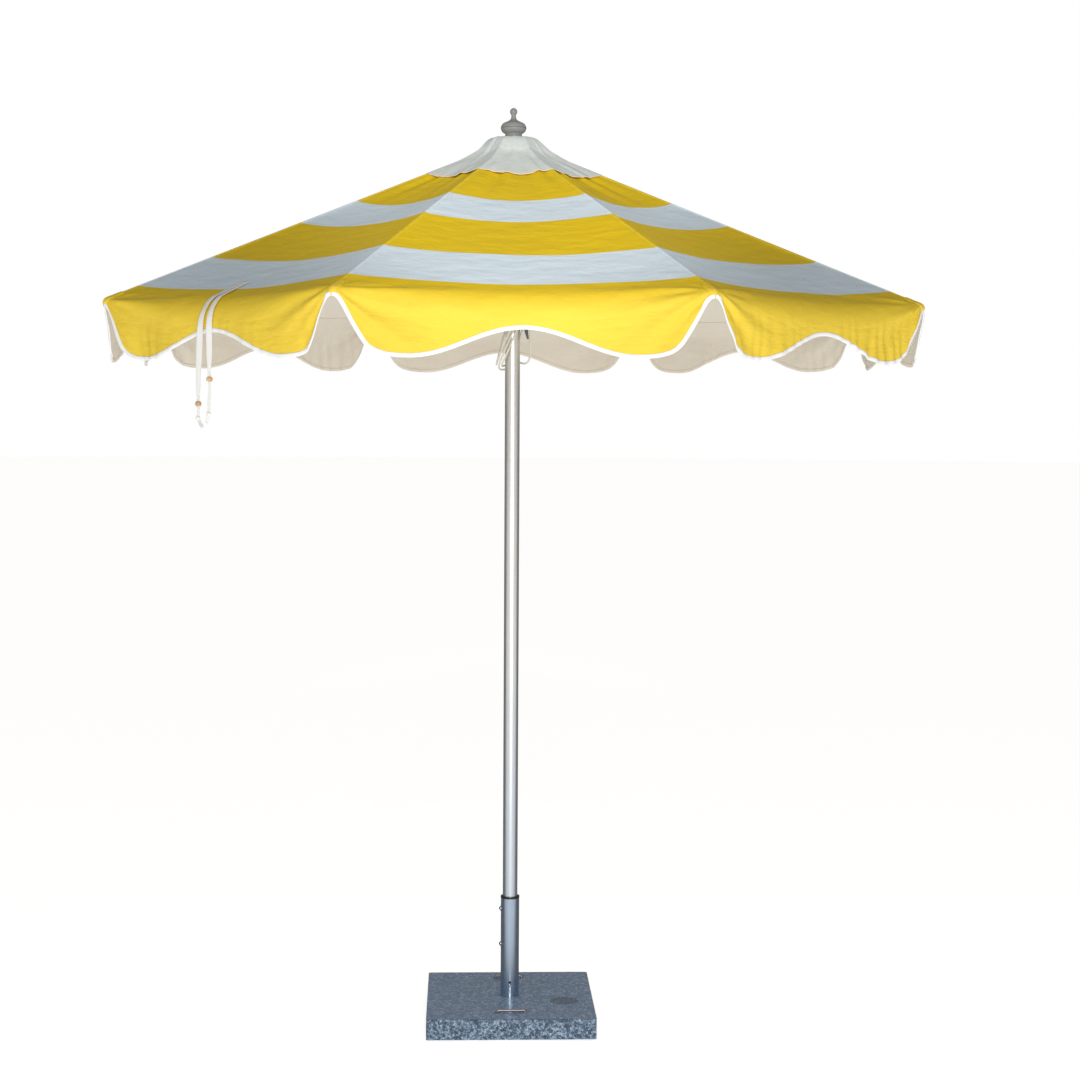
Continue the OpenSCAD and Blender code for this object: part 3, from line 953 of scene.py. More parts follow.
@dataclass
class Studio:
    """Pale floor, soft lights and the camera."""

    lens: float = 68.14
    stand: Vector = field(default_factory=lambda: Vector((-0.1324, -5.5085, 1.6717)))
    turn: float = -2.172
    pitch: float = -3.769
    roll: float = 0.315
    sky: float = 0.23
    front: float = 0.48
    glow: float = 0.70

    def camera(self) -> None:
        """Places the camera."""
        data = bpy.data.cameras.new("camera")
        data.lens = self.lens
        data.sensor_width = 36.0
        made = bpy.data.objects.new("camera", data)
        bpy.context.scene.collection.objects.link(made)
        made.matrix_world = (
            Matrix.Translation(self.stand)
            @ Matrix.Rotation(math.radians(self.turn), 4, "Z")
            @ Matrix.Rotation(math.radians(90.0 + self.pitch), 4, "X")
            @ Matrix.Rotation(math.radians(self.roll), 4, "Z")
        )
        bpy.context.scene.camera = made

    def floor(self) -> None:
        """Lays a wide pale floor."""
        mesh = bmesh.new()
        bmesh.ops.create_circle(mesh, cap_ends=True, segments=96, radius=60.0)
        loom = Loom("floor")
        near = loom.cloud(loom.place(), 0.6, 2.0)
        mirrored = Wire(loom, loom.node("ShaderNodeLightPath").outputs["Is Glossy Ray"])
        lit = loom.parts(loom.place())[1].step(-0.1, -0.9) * 0.74 + 0.16
        shown = 1.0 - mirrored * (1.0 - lit)
        pale = loom.mix(near * 0.03, (0.93, 0.93, 0.93), (0.88, 0.88, 0.88))
        material = loom.finish(
            Base_Color=loom.mix(shown, (0.05, 0.05, 0.055), pale),
            Roughness=0.9, Specular_IOR_Level=0.1,
            Emission_Color=(1.0, 0.99, 0.97), Emission_Strength=shown * self.glow,
        )
        material.cycles.emission_sampling = "NONE"
        made = Bench.piece(mesh, "floor", [material])

    def lamp(
        self, name: str, kind: str, place: Vector, aim: Vector, power: float,
        settings: dict[str, object],
    ) -> None:
        """Hangs a lamp.

        Args:
            name: Its name.
            kind: AREA or SPOT.
            place: Where it hangs.
            aim: Where it looks.
            power: In watts.
            settings: Its shape, size and colour.
        """
        data = bpy.data.lights.new(name, kind)
        data.energy = power
        for key, value in settings.items():
            setattr(data, key, value)
        made = bpy.data.objects.new(name, data)
        bpy.context.scene.collection.objects.link(made)
        look = (aim - place).to_track_quat("-Z", "Y").to_matrix().to_4x4()
        made.matrix_world = Matrix.Translation(place) @ look

    def lights(self) -> None:
        """Lights the room: an even sky, and a large soft light from the front."""
        world = bpy.data.worlds.new("room")
        bpy.context.scene.world = world
        loom = Loom("room", world)
        seen = Wire(loom, loom.node("ShaderNodeLightPath").outputs["Is Camera Ray"])
        toward = Wire(loom, loom.node("ShaderNodeTexCoord").outputs["Generated"])
        front = loom.parts(toward)[1].step(-0.15, -1.0)
        light = front * self.front + self.sky
        shade = loom.node(
            "ShaderNodeBackground", None,
            {"Color": (1.0, 1.0, 1.0), "Strength": light * (1.0 - seen) + seen},
        )
        output = loom.node("ShaderNodeOutputWorld")
        loom.tree.links.new(shade.outputs[0], output.inputs["Surface"])
        self.lamp(
            "key", "AREA", Vector((0.25, -6.2, 1.45)), Vector((0.0, 0.0, 1.75)), 108.0,
            {"shape": "RECTANGLE", "size": 1.6, "size_y": 1.0, "color": (1.0, 0.985, 0.96)},
        )
        self.lamp(
            "panel_spot", "SPOT", Vector((0.0, -6.0, 4.2)), Vector((0.0, -0.70, 2.14)), 680.0,
            {"spot_size": math.radians(12.0), "spot_blend": 0.9, "shadow_soft_size": 0.20,
             "color": (1.0, 0.985, 0.95)},
        )
        bpy.context.scene.view_settings.view_transform = "Standard"

    def build(self) -> None:
        """Builds the studio."""
        self.camera()
        self.floor()
        self.lights()
        LOG.info("studio: camera, floor and lights")


# ---- cords ----


@dataclass
class HoistCord:
    """The hoist cord: its two falls over the sheave, and the tail that is hung on the cleat."""

    radius: float = 0.0025
    fall_x: float = 0.0264
    sheave_z: float = 2.290
    knot_z: float = 1.9391
    fall_low: float = 1.926
    tail_length: float = 1.18
    # The tail's route from the end of its fall to its knot, in millimetres
    tail: tuple[tuple[float, float, float], ...] = (
        (26.4, 0, 1926), (26.4, 0, 1921.5), (27, -6, 1914), (25, -14, 1901.5), (15, -22.5, 1884),
        (4, -26.5, 1857), (-10, -25.5, 1823), (-21, -18, 1797), (-28, -5, 1781), (-28, 8, 1776),
        (-18, 20, 1779), (0, 26.5, 1785), (18, 20, 1787), (29, 12, 1783), (38, 7, 1784),
        (45, 4, 1793), (47.5, 2, 1812), (47.5, 0, 1838), (47.5, -3, 1868), (47.5, -8, 1894),
        (44.5, -12, 1909), (37, -16, 1918), (27.5, -19, 1914), (18, -22.5, 1902),
        (6, -27, 1881), (-6, -27, 1853), (-21, -20.5, 1818), (-33, -9, 1789), (-37, 3, 1774),
        (-31, 17, 1767), (-14, 29, 1769), (4, 33, 1780), (12, 31, 1806), (17, 27, 1838),
        (24, 23, 1868), (34, 18, 1893), (44.5, 10, 1911), (48.5, -2, 1925), (45, -12, 1936),
        (36, -19.5, 1935), (26, -23.5, 1922), (15, -27, 1905), (2, -30.5, 1885),
        (-10, -28.5, 1864), (-22, -21.5, 1839), (-32, -12, 1812), (-39, -1, 1794),
        (-42, 8, 1783), (-42.5, 18, 1780), (-41, 26, 1788), (-37, 28, 1806), (-31, 26, 1834),
        (-23, 25, 1862), (-12, 28, 1886), (4, 29.5, 1899), (18, 24, 1908), (27, 15, 1915),
    )

    def round_section(self, turn: float, _share: float) -> Pair:
        """Returns the cord's round section."""
        angle = turn * math.tau
        return self.radius * math.cos(angle), self.radius * math.sin(angle)

    def knot(self, name: str, middle: Vector, material: bpy.types.Material) -> bpy.types.Object:
        """Ties an overhand knot: a small closed loop of cord wound on itself.

        Args:
            name: The piece's name.
            middle: Its middle.
            material: The cord's finish.

        Returns:
            The knot.
        """
        route = []
        for i in range(73):
            t = math.tau * i / 72
            out = 0.0026 + 0.0009 * math.cos(3 * t)
            route.append(
                middle + Vector(
                    (out * math.cos(2 * t), out * math.sin(2 * t), 0.0022 * math.sin(3 * t))
                )
            )
        mesh = Bench.tube(
            route, lambda turn, _s: (0.0019 * math.cos(turn * math.tau),
                                     0.0019 * math.sin(turn * math.tau)), Vector((0, 0, 1)),
        )
        return Bench.piece(mesh, name, [material])

    def build(self, finishes: Finishes) -> None:
        """Builds the cord and its knots.

        Args:
            finishes: The finishes.
        """
        route = Bench.smooth_route([mm(*p) for p in self.tail], 0.003)
        tail = Bench.piece(
            Bench.tube(route, self.round_section, Vector((1, 0, 0)), 12),
            "hoist_cord_tail", [finishes.cord],
        )
        end = self.knot("tail_knot", route[-1] + mm(2.2, -3.6, 0.9), finishes.cord)
        for made in (tail, end):
            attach(made, "runner")
        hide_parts("cord_tail")
        tuple(route[0])
        [tuple(p) for p in route]
        arc = [
            Vector((-self.fall_x * math.cos(a), 0, self.sheave_z + self.fall_x * math.sin(a)))
            for a in (math.pi * i / 24 for i in range(25))
        ]
        rising = [Vector((-self.fall_x, 0, self.knot_z + (self.sheave_z - self.knot_z) * i / 60))
                  for i in range(60)]
        drop = self.fall_low - self.sheave_z
        falling = [Vector((self.fall_x, 0, self.sheave_z + drop * i / 60)) for i in range(1, 61)]
        falls = Bench.piece(
            Bench.tube(rising + arc + falling, self.round_section, Vector((0, 1, 0)), 12),
            "hoist_cord_falls", [finishes.cord],
        )
        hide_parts("hoist_cord")
        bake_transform(falls)
        stop = self.knot("fall_knot", mm(-29.0, 0, 1939.8), finishes.cord)
        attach(stop, "runner")
        LOG.info("hoist cord: falls, tail of %.3f m and two knots", self.tail_length)


# ---- canopy ----


@dataclass
class Canopy:
    """The open canopy's surface: eight sagging panels that bend over into a scalloped valance."""

    pin_ring: float = 0.042
    pin_z: float = 2.347
    rib_length: float = 1.135
    slope: float = math.radians(22.3)
    half: float = math.radians(22.5)
    lift: float = 0.0115
    start: float = 0.018
    sag: float = 0.021
    seam_out: float = 0.969
    hang_slope: float = math.radians(89.0)
    lobe_drop: float = 0.152
    arch_drop: float = 0.089
    # The lobe's side, up to the notch at the rib
    lobe_side: tuple[Pair, ...] = (
        (0.55, 0.1512), (0.60, 0.1520), (0.68, 0.1500), (0.74, 0.1455), (0.79, 0.1370),
        (0.83, 0.1225), (0.87, 0.0975), (0.91, 0.0680), (0.945, 0.0400), (0.965, 0.0265),
        (0.982, 0.0195), (1.0, 0.0180),
    )

    def __post_init__(self) -> None:
        """Works out the sizes that follow from the others."""
        self.mid_slope = math.atan(math.tan(self.slope) / math.cos(self.half))
        self.hang_out = self.rib_out(self.rib_length) * math.cos(self.half) + 0.003
        self.rim_z = self.rib_z(self.rib_length)
        self.top_out = self.rib_out(self.start) * math.cos(self.half)
        self.seam_way = (self.seam_out - self.top_out) / math.cos(self.mid_slope)

    def panel_turn(self, k: int) -> float:
        """Returns the direction of the middle of panel k, in radians."""
        return math.radians(-90 + 45 * (k - 1))

    def rib_out(self, way: float) -> float:
        """Returns how far out the cloth is over a rib, at a distance along it."""
        return self.pin_ring + way * math.cos(self.slope) + self.lift * math.sin(self.slope)

    def rib_z(self, way: float) -> float:
        """Returns how high the cloth is over a rib, at a distance along it."""
        return self.pin_z - way * math.sin(self.slope) + self.lift * math.cos(self.slope)

    def rib_way(self, out: float) -> float:
        """Returns the distance along the rib for a distance out at the panel's middle."""
        past_pin = out / math.cos(self.half) - self.pin_ring
        return (past_pin - self.lift * math.sin(self.slope)) / math.cos(self.slope)

    def sag_at(self, way: float) -> float:
        """Returns the sag at the panel's middle."""
        return self.sag * (1 - (1 - min(way / 0.520, 1)) ** 2)

    def half_width(self, out: float) -> float:
        """Returns half the panel's width at a distance out."""
        return out * math.tan(self.half)

    def hem_drop(self, a: float) -> float:
        """Returns the hem's drop below the rib tips.

        Args:
            a: The share of the way from the panel's middle to its rib.

        Returns:
            The drop: two lobes, a middle arch and a notch at the rib.
        """
        if a > 0.6:
            return curve_at(self.lobe_side, a)
        swing = (1 - math.cos(math.radians(300 * a))) / 2
        return self.arch_drop + (self.lobe_drop - self.arch_drop) * swing

    def flat(self, out: float, u: float) -> Vector:
        """Returns the height of the unbent panel, as (out, height, slope)."""
        way = self.rib_way(out)
        height = self.rib_z(way) - self.sag_at(way) * (1 - u * u)
        return Vector((out, height, self.mid_slope))

    def bend(self, u: float) -> tuple[float, float, float]:
        """Returns the bend's radius, where it starts and how long the cloth is up to its end."""
        radius = 0.014 + 0.061 * (1 - u * u)
        begins = self.hang_out - radius * (math.sin(self.hang_slope) - math.sin(self.mid_slope))
        straight = (begins - self.seam_out) / math.cos(self.mid_slope)
        return radius, begins, straight

    def valance_length(self, u: float) -> float:
        """Returns the cloth's length from the seam to the hem."""
        radius, begins, straight = self.bend(u)
        turned = radius * (self.hang_slope - self.mid_slope)
        dropped = radius * (math.cos(self.mid_slope) - math.cos(self.hang_slope))
        low = self.flat(begins, u).y - dropped
        return straight + turned + (low - (self.rim_z - self.hem_drop(abs(u))))

    def profile(self, u: float, way: float) -> Vector:
        """Follows the cloth from the hub to the hem.

        Args:
            u: The share across the panel, from -1 to 1.
            way: The distance along the cloth from its top edge.

        Returns:
            How far out the cloth is, its height and its slope.
        """
        if way <= self.seam_way:
            return self.flat(self.top_out + way * math.cos(self.mid_slope), u)
        radius, begins, straight = self.bend(u)
        past = way - self.seam_way
        if past <= straight:
            return self.flat(self.seam_out + past * math.cos(self.mid_slope), u)
        angle = self.mid_slope + (past - straight) / radius
        from_flat = self.flat(begins, u)
        if angle < self.hang_slope:
            return Vector((
                begins + radius * (math.sin(angle) - math.sin(self.mid_slope)),
                from_flat.y - radius * (math.cos(self.mid_slope) - math.cos(angle)),
                angle,
            ))
        low = from_flat.y - radius * (math.cos(self.mid_slope) - math.cos(self.hang_slope))
        hung = past - straight - radius * (self.hang_slope - self.mid_slope)
        return Vector((self.hang_out, low - hung, self.hang_slope))

    def ripple(self, k: int, u: float, way: float, out: float) -> float:
        """Returns how far the cloth stands off its smooth surface.

        Args:
            k: The panel.
            u: The share across it.
            way: The distance along the cloth.
            out: How far out the point is.

        Returns:
            The distance along the normal, in metres.
        """
        width = self.half_width(out)
        across = u * width
        rib_gap = (1 - abs(u)) * width
        side = 1.0 if u > 0 else -1.0
        loose = rise(rib_gap, 0.0, 0.022)
        seed = Vector((7.3 * k, 2.1 * k, 0.0))
        broad = noise.noise(Vector((across * 3.2, way * 4.0, 0)) + seed) * 0.0038
        small = noise.noise(Vector((across * 11.0, way * 17.0, 4.0)) + seed) * 0.0011
        pucker = math.exp(-rib_gap / 0.030) * 0.0016 * noise.noise(
            Vector((way * 42.0, side * 3.0, 9.0)) + seed
        )
        tip_way = self.seam_way + 0.045
        from_tip = Vector((rib_gap, way - tip_way))
        far = from_tip.length + 1e-6
        angle = math.atan2(from_tip.x, -from_tip.y)
        warp = noise.noise(Vector((far * 5.0, side, 2.0)) + seed) * 0.35
        rays = math.sin(angle * 9.0 + 1.7 * k + side + warp * 4) * 0.5
        rays += math.sin(angle * 17.0 - 2.3 * k * side + warp * 6) * 0.3
        rays *= 0.0062 * math.exp(-((far - 0.10) / 0.13) ** 2) * min(1.0, far / 0.05)
        rays *= rise(way, self.seam_way - 0.03, self.seam_way + 0.05)
        gather = math.sin(u * 9.0 + 2.9 * k) + 0.7 * math.sin(u * 15.0 - 1.3 * k)
        gather *= 0.0019 * math.exp(-((out - 0.24) / 0.11) ** 2)
        past = max(0.0, way - self.seam_way - 0.06)
        flute = math.sin(across * 22.0 + 2.2 * k + 0.8 * math.sin(across * 9 + k))
        flute += 0.5 * noise.noise(Vector((across * 16.0, way * 5.0, 1.0)) + seed)
        flute *= 0.0085 * min(1.0, past / 0.14) ** 1.3
        where = noise.noise(Vector((across * 5.0, way * 2.0, 11.0)) + seed) + 0.25
        bent = noise.noise(Vector((across * 14.0, way * 6.0, 8.0)) + seed)
        pleat = math.sin(across * 165.0 + 5.0 * bent)
        pleat *= (0.0012 if k == 1 else 0.0042) * max(0.0, where) * min(1.0, past / 0.10)
        hem = noise.noise(Vector((across * 38.0, 0.0, 6.0)) + seed) * 0.0022
        hem *= min(1.0, past / 0.16) ** 3
        return (broad + small + pucker + rays + gather + flute + pleat + hem) * loose

    def point(self, k: int, u: float, way: float, lift: float = 0.0) -> Vector:
        """Returns a point of the cloth in the umbrella's frame.

        Args:
            k: The panel.
            u: The share across it, from -1 to 1.
            way: The distance along the cloth from its top edge.
            lift: How far above the cloth's outer face the point is.

        Returns:
            The point.
        """
        out, height, slope = self.profile(u, way)
        across = u * self.half_width(out)
        off = self.ripple(k, u, way, out) + lift
        out += off * math.sin(slope)
        height += off * math.cos(slope)
        turn = self.panel_turn(k)
        return Vector((
            out * math.cos(turn) - across * math.sin(turn),
            out * math.sin(turn) + across * math.cos(turn),
            height,
        ))

    def cut(self, u: float, way: float) -> Pair:
        """Returns the place on the cut cloth: across, and down the rib, in metres."""
        out = self.top_out + way * math.cos(self.mid_slope)
        shown = min(out, self.hang_out)
        rib_way = out / math.cos(self.half) + max(0.0, way - self.seam_way - 0.08)
        return u * self.half_width(shown), rib_way

    def tangent(self, k: int) -> tuple[float, float, float]:
        """Returns the direction across panel k."""
        turn = self.panel_turn(k)
        return -math.sin(turn), math.cos(turn), 0.0


@dataclass
class PanelCloth:
    """The eight panels and the eight lengths of valance, with their bound hems."""

    canopy: Canopy
    finishes: Finishes
    columns: int = 84
    rows: int = 96
    hem_rows: int = 40
    thickness: float = 0.0009
    keep: float = 0.155
    lap: float = 0.007

    def away(self, point: Vector) -> Vector:
        """Returns the outward direction at a point of the canopy."""
        return Vector((point.x, point.y, 0.9))

    def gore(self, k: int) -> bpy.types.Object:
        """Builds one panel, from the hub to its seam with the valance.

        Args:
            k: The panel.

        Returns:
            The panel.
        """
        length = self.canopy.seam_way + self.lap
        mesh = Bench.grid(
            self.columns, self.rows,
            lambda x, y: self.canopy.point(k, 1 - 2 * x, held(y, self.rows, last=True) * length),
            lambda x, y: self.canopy.cut(1 - 2 * x, held(y, self.rows, last=True) * length),
            weight=lambda _x, y: 1 - 0.9 * rise(y, 0.955, 0.975),
        )
        Bench.face_out(mesh, self.away)
        made = Bench.piece(mesh, f"panel_cloth_{k}", [self.finishes.canvas, self.finishes.lining])
        Bench.wall(made, self.thickness, 1, True)
        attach(made, f"gore_{k}")
        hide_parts(f"gore_{k}")
        self.fold(made, f"gore_{k}_fold", k)
        wide = 2 * self.canopy.half_width(self.canopy.seam_out)
        round(0.535 * wide * length, 4)
        return made

    def fold(self, made: bpy.types.Object, joint: str, k: int) -> None:
        """Gives a piece its own copy of its mesh.

        Args:
            made: The piece.
            joint: The joint's name; not used.
            k: The panel.
        """
        self.canopy.tangent(k)
        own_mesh(made)

    def valance(self, k: int) -> bpy.types.Object:
        """Builds one length of valance, from its seam to its hem.

        Args:
            k: The panel.

        Returns:
            The valance.
        """
        canopy = self.canopy

        def way(u: float, share: float) -> float:
            """Returns the distance along the cloth; the top edge is lapped under the panel."""
            top = canopy.seam_way - self.lap
            share = held(share, self.hem_rows, first=True)
            return top + (canopy.valance_length(u) + self.lap) * share

        def place(x: float, y: float) -> Vector:
            """Returns a point of the valance."""
            u = 1 - 2 * x
            hidden = 1 - rise(y * canopy.valance_length(u), 2 * self.lap, 5 * self.lap)
            return canopy.point(k, u, way(u, y), -0.00035 * hidden)

        mesh = Bench.grid(
            self.columns * 3 // 2, self.hem_rows, place,
            lambda x, y: canopy.cut(1 - 2 * x, way(1 - 2 * x, y)),
        )
        Bench.face_out(mesh, self.away)
        made = Bench.piece(mesh, f"valance_cloth_{k}", [self.finishes.canvas, self.finishes.lining])
        Bench.wall(made, self.thickness, 1)
        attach(made, f"valance_{k}")
        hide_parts(f"valance_{k}")
        self.fold(made, f"valance_{k}_fold", k)
        return made

    def binding(self, k: int) -> bpy.types.Object:
        """Folds a white tape over one hem.

        Args:
            k: The panel.

        Returns:
            The binding.
        """
        canopy, count = self.canopy, 168
        shape = [(-0.0009, 0.0), (-0.0006, 0.0011), (0.0030, 0.0015), (0.0068, 0.0014),
                 (0.0086, 0.0009), (0.0086, -0.0016), (0.0068, -0.0022), (0.0030, -0.0023),
                 (-0.0006, -0.0018), (-0.0009, -0.0006)]

        def hem(u: float) -> Vector:
            """Returns a point of the hem."""
            return canopy.point(k, u, canopy.seam_way + canopy.valance_length(u))

        stations = []
        for i in range(count + 1):
            u = 1 - 2 * i / count
            u = max(-0.998, min(0.998, u))
            here = hem(u)
            ahead = (hem(max(-1, u - 0.004)) - hem(min(1, u + 0.004))).normalized()
            up = canopy.point(k, u, canopy.seam_way + canopy.valance_length(u) - 0.004) - here
            out = ahead.cross(up).normalized()
            if out.dot(self.away(here)) < 0:
                out = -out
            inward = out.cross(ahead).normalized()
            if inward.dot(up) < 0:
                inward = -inward
            stations.append((here, inward, out))
        ways = [0.0]
        for (a, _, _), (b, _, _) in zip(stations, stations[1:]):
            ways.append(ways[-1] + (b - a).length)

        def place(x: float, y: float) -> Vector:
            """Returns a point of the folded tape."""
            here, inward, out = stations[round(y * count)]
            h, n = shape[round(x * len(shape)) % len(shape)]
            wave = 0.0007 * noise.noise(Vector((ways[round(y * count)] * 60, k * 3.0, h * 90)))
            return here + inward * (h + wave * (h > 0.005)) + out * n

        mesh = Bench.grid(
            len(shape), count, place, lambda x, y: (x * 0.022, ways[round(y * count)]),
            slot=lambda x, _y: int(0.5 < x < 0.9),
        )
        Bench.close(mesh)
        made = Bench.piece(
            mesh, f"hem_binding_{k}", [self.finishes.binding, self.finishes.lining]
        )
        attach(made, f"valance_{k}")
        self.fold(made, f"valance_{k}_fold", k)
        return made

    def build(self) -> None:
        """Builds all the cloth."""
        canopy = self.canopy
        for k in PANELS:
            self.gore(k)
            cloth, tape = self.valance(k), self.binding(k)
            wide = 2 * canopy.half_width(canopy.hang_out)
            tall = max(canopy.valance_length(u / 20) for u in range(21)) + self.lap
            round(0.86 * wide * tall, 4)
            LOG.info("panel %d: cloth, valance and hem binding", k)


@dataclass
class RibSeams:
    """What is sewn over each rib: the felled seam, and the pocket that holds the rib's tip."""

    canopy: Canopy
    finishes: Finishes
    half_width: float = 0.0062
    pocket_width: float = 0.0165

    def over(self, k: int, side: float, way: float, lift: float) -> Vector:
        """Returns a point beside rib k, on the panel that lies on that side.

        Args:
            k: The rib.
            side: The distance from the rib; panel k lies on the positive side.
            way: The distance along the cloth.
            lift: How far above the cloth.

        Returns:
            The point.
        """
        canopy = self.canopy
        width = canopy.half_width(canopy.profile(1.0, way).x)
        share = 1 - abs(side) / width
        one = canopy.point(k, -share, way, lift)
        other = canopy.point((k - 2) % 8 + 1, share, way, lift)
        if abs(side) < 1e-6:
            return (one + other) / 2
        return one if side > 0 else other

    def strip(
        self, k: int, name: str, ends: Pair, half: Callable[[float], float], crown: float,
        rows: int, columns: int = 8,
    ) -> bpy.types.Object:
        """Lays a strip over a rib.

        Args:
            k: The rib.
            name: The piece's name.
            ends: The distances along the cloth where it starts and stops.
            half: Half its width, for a share along it.
            crown: How much its middle is raised.
            rows: Faces along.
            columns: Faces across.

        Returns:
            The strip.
        """
        begin, stop = ends

        def place(x: float, y: float) -> Vector:
            """Returns a point of the strip."""
            lift = 0.0005 + crown * math.cos((x - 0.5) * math.pi) ** 0.7 if 0 < x < 1 else 0.0001
            return self.over(k, (1 - 2 * x) * half(y), begin + (stop - begin) * y, lift)

        def cut(x: float, y: float) -> Pair:
            """Returns the place on the cut cloth, which the stripes follow."""
            way = begin + (stop - begin) * y
            edge, down = self.canopy.cut(1.0, way)
            return edge - abs(1 - 2 * x) * half(y), down

        mesh = Bench.grid(columns, rows, place, cut)
        Bench.face_out(mesh, lambda p: Vector((p.x, p.y, 0.9)))
        made = Bench.piece(mesh, name, [self.finishes.canvas])
        Bench.wall(made, 0.0006)
        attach(made, f"rib_{k}")
        return made

    def pocket_half(self, y: float) -> float:
        """Returns half the pocket's width at a share along it."""
        return self.pocket_width * (0.45 + 0.55 * math.sin(math.pi * min(1, 0.15 + y * 0.7)))

    def build(self) -> None:
        """Builds the eight seams and pockets."""
        way_top, way_end = 0.02, self.canopy.seam_way + 0.048
        for k in PANELS:
            seam = self.strip(
                k, f"rib_seam_{k}", (way_top, way_end), lambda y: self.half_width, 0.0006, 130
            )
            2 * self.half_width
            way_end - way_top
            pocket = self.strip(
                k, f"tip_pocket_{k}", (way_end - 0.042, way_end + 0.011),
                self.pocket_half, 0.0024, 22, 12,
            )
            LOG.info("rib %d: felled seam and tip pocket", k)


@dataclass
class VentCap:
    """The white cap over the crown: a gathered bell, and eight flaps that lie on the panels."""

    canopy: Canopy
    finishes: Finishes
    # Distance out and height of the bell over a rib
    bell: tuple[Pair, ...] = (
        (0.0243, 2.3818), (0.036, 2.3816), (0.049, 2.3812), (0.060, 2.3796), (0.069, 2.3752),
        (0.078, 2.3684), (0.087, 2.3602), (0.096, 2.3526), (0.106, 2.3452), (0.120, 2.3372),
        (0.145, 2.3256), (0.170, 2.3150), (0.210, 2.2985), (0.250, 2.2818),
    )
    crown_out: float = 0.104

    def point(self, turn: float, out: float, lift: float = 0.0) -> Vector:
        """Returns a point of the cap.

        Args:
            turn: The direction, in radians.
            out: The distance out along the nearest rib.
            lift: How far above the cloth.

        Returns:
            The point: its sides are straight between the ribs lower down, and its top is round.
        """
        sector = math.radians(45)
        nearest = round((turn + math.pi / 2) / sector) * sector - math.pi / 2
        q = abs(turn - nearest) / (sector / 2)
        square = min(1.0, max(0.0, (out - 0.055) / 0.06))
        flatten = math.cos(sector / 2) / math.cos(sector / 2 * q)
        far = out * (1 + (flatten - 1) * square)
        dip = (1 - q * q) * min(1.0, max(0.0, (out - 0.058) / 0.05))
        fold = noise.noise(Vector((math.cos(turn) * 4, math.sin(turn) * 4, out * 6)))
        crease = math.sin(turn * 8 + math.pi / 2) * 0.35
        crease += (math.sin(turn * 13 + 1.0 + out * 20) * 0.5
                   + math.sin(turn * 29 + 2 + out * 9) * 0.35)
        reach = rise(out, 0.040, 0.085) * max(0.25, 1 - max(0, out - 0.10) / 0.12)
        off = (crease * 0.0030 + fold * 0.0050) * reach * (0.35 + 0.65 * (1 - q))
        height = curve_at(self.bell, out) - dip * (0.006 + 0.028 * out) + off + lift
        return Vector((far * math.cos(turn), far * math.sin(turn), height))

    def away(self, point: Vector) -> Vector:
        """Returns the outward direction at a point of the cap."""
        return Vector((point.x, point.y, 0.6))

    def cloth_height(self, k: int, u: float, spot: Vector) -> float:
        """Returns how high the cloth of panel k is under a point.

        Args:
            k: The panel.
            u: The share across the panel.
            spot: The point.

        Returns:
            The height.
        """
        canopy = self.canopy
        turn = canopy.panel_turn(k)
        out = spot.x * math.cos(turn) + spot.y * math.sin(turn)
        way = (out - canopy.top_out) / math.cos(canopy.mid_slope)
        return canopy.flat(out, u).y + max(0.0, canopy.ripple(k, u, way, out)) * 1.1

    def crown(self) -> bpy.types.Object:
        """Builds the gathered bell round the finial's foot."""
        def place(x: float, y: float) -> Vector:
            """Returns a point of the bell."""
            inner = self.bell[0][0]
            out = inner + (self.crown_out - inner) * y
            lift = 0.0006 - 0.0014 * rise(y, 0.9, 1.0)
            return self.point((1 - x) * math.tau - math.pi / 2, out, lift)

        mesh = Bench.grid(192, 40, place, lambda x, y: tuple(place(x, y).xy))
        bmesh.ops.remove_doubles(mesh, verts=mesh.verts, dist=0.00002)
        Bench.face_out(mesh, self.away)
        made = Bench.piece(mesh, "vent_cap_crown", [self.finishes.cap])
        Bench.wall(made, 0.0008)
        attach(made, "pole")
        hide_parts("vent_cap")
        return made

    def flap(self, k: int) -> bpy.types.Object:
        """Builds the part of the cap that lies on one panel.

        Args:
            k: The panel.

        Returns:
            The flap.
        """
        middle = self.canopy.panel_turn(k)
        tucked, begin, stop = 0.054, 0.088, 0.248

        def place(x: float, y: float) -> Vector:
            """Returns a point of the flap, which comes to lie on the panel's cloth."""
            u = 1 - 2 * x
            open_part = 1 - u ** 4
            out = tucked + (stop - tucked) * y
            under = 1 - rise(out, 0.060, 0.092)
            y = max(0.0, (out - begin) / (stop - begin))
            wave = noise.noise(Vector((u * 2.3 + k * 5, 0.0, 3.0))) * 0.007 * y * open_part
            out += wave + 0.008 * y * y * open_part
            turn = math.atan(u * math.tan(self.canopy.half))
            spot = self.point(middle + turn, out, -0.0008 * (1 - y) ** 6 - 0.0022 * under)
            cloth = self.cloth_height(k, u, spot)
            fold = noise.noise(Vector((u * 4.2 + k * 3, out * 9, 7.0))) * 0.5 + 0.5
            fold += max(0.0, math.sin(u * 5.0 + k * 1.9 + out * 12)) * 0.4
            laid = cloth + 0.0021 + 0.0040 * fold * open_part * rise(y, 0.0, 0.6)
            share = rise(out, 0.108, 0.165)
            spot.z = max(spot.z, cloth + 0.0021) * (1 - share) + laid * share
            return spot

        mesh = Bench.grid(
            56, 72, place, lambda x, y: tuple(place(x, y).xy),
            # The flap's outer band, widest mid-panel, takes the cream finish: painted shade under
            # its hem
            slot=lambda x, y: int(y > 1 - 0.062 * (1 - (2 * x - 1) ** 2)),
        )
        Bench.face_out(mesh, self.away)
        made = Bench.piece(mesh, f"vent_flap_{k}", [self.finishes.cap, self.finishes.cap_hem_shade])
        Bench.wall(made, 0.0010)
        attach(made, f"gore_{k}")
        self.canopy.tangent(k)
        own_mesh(made)
        return made

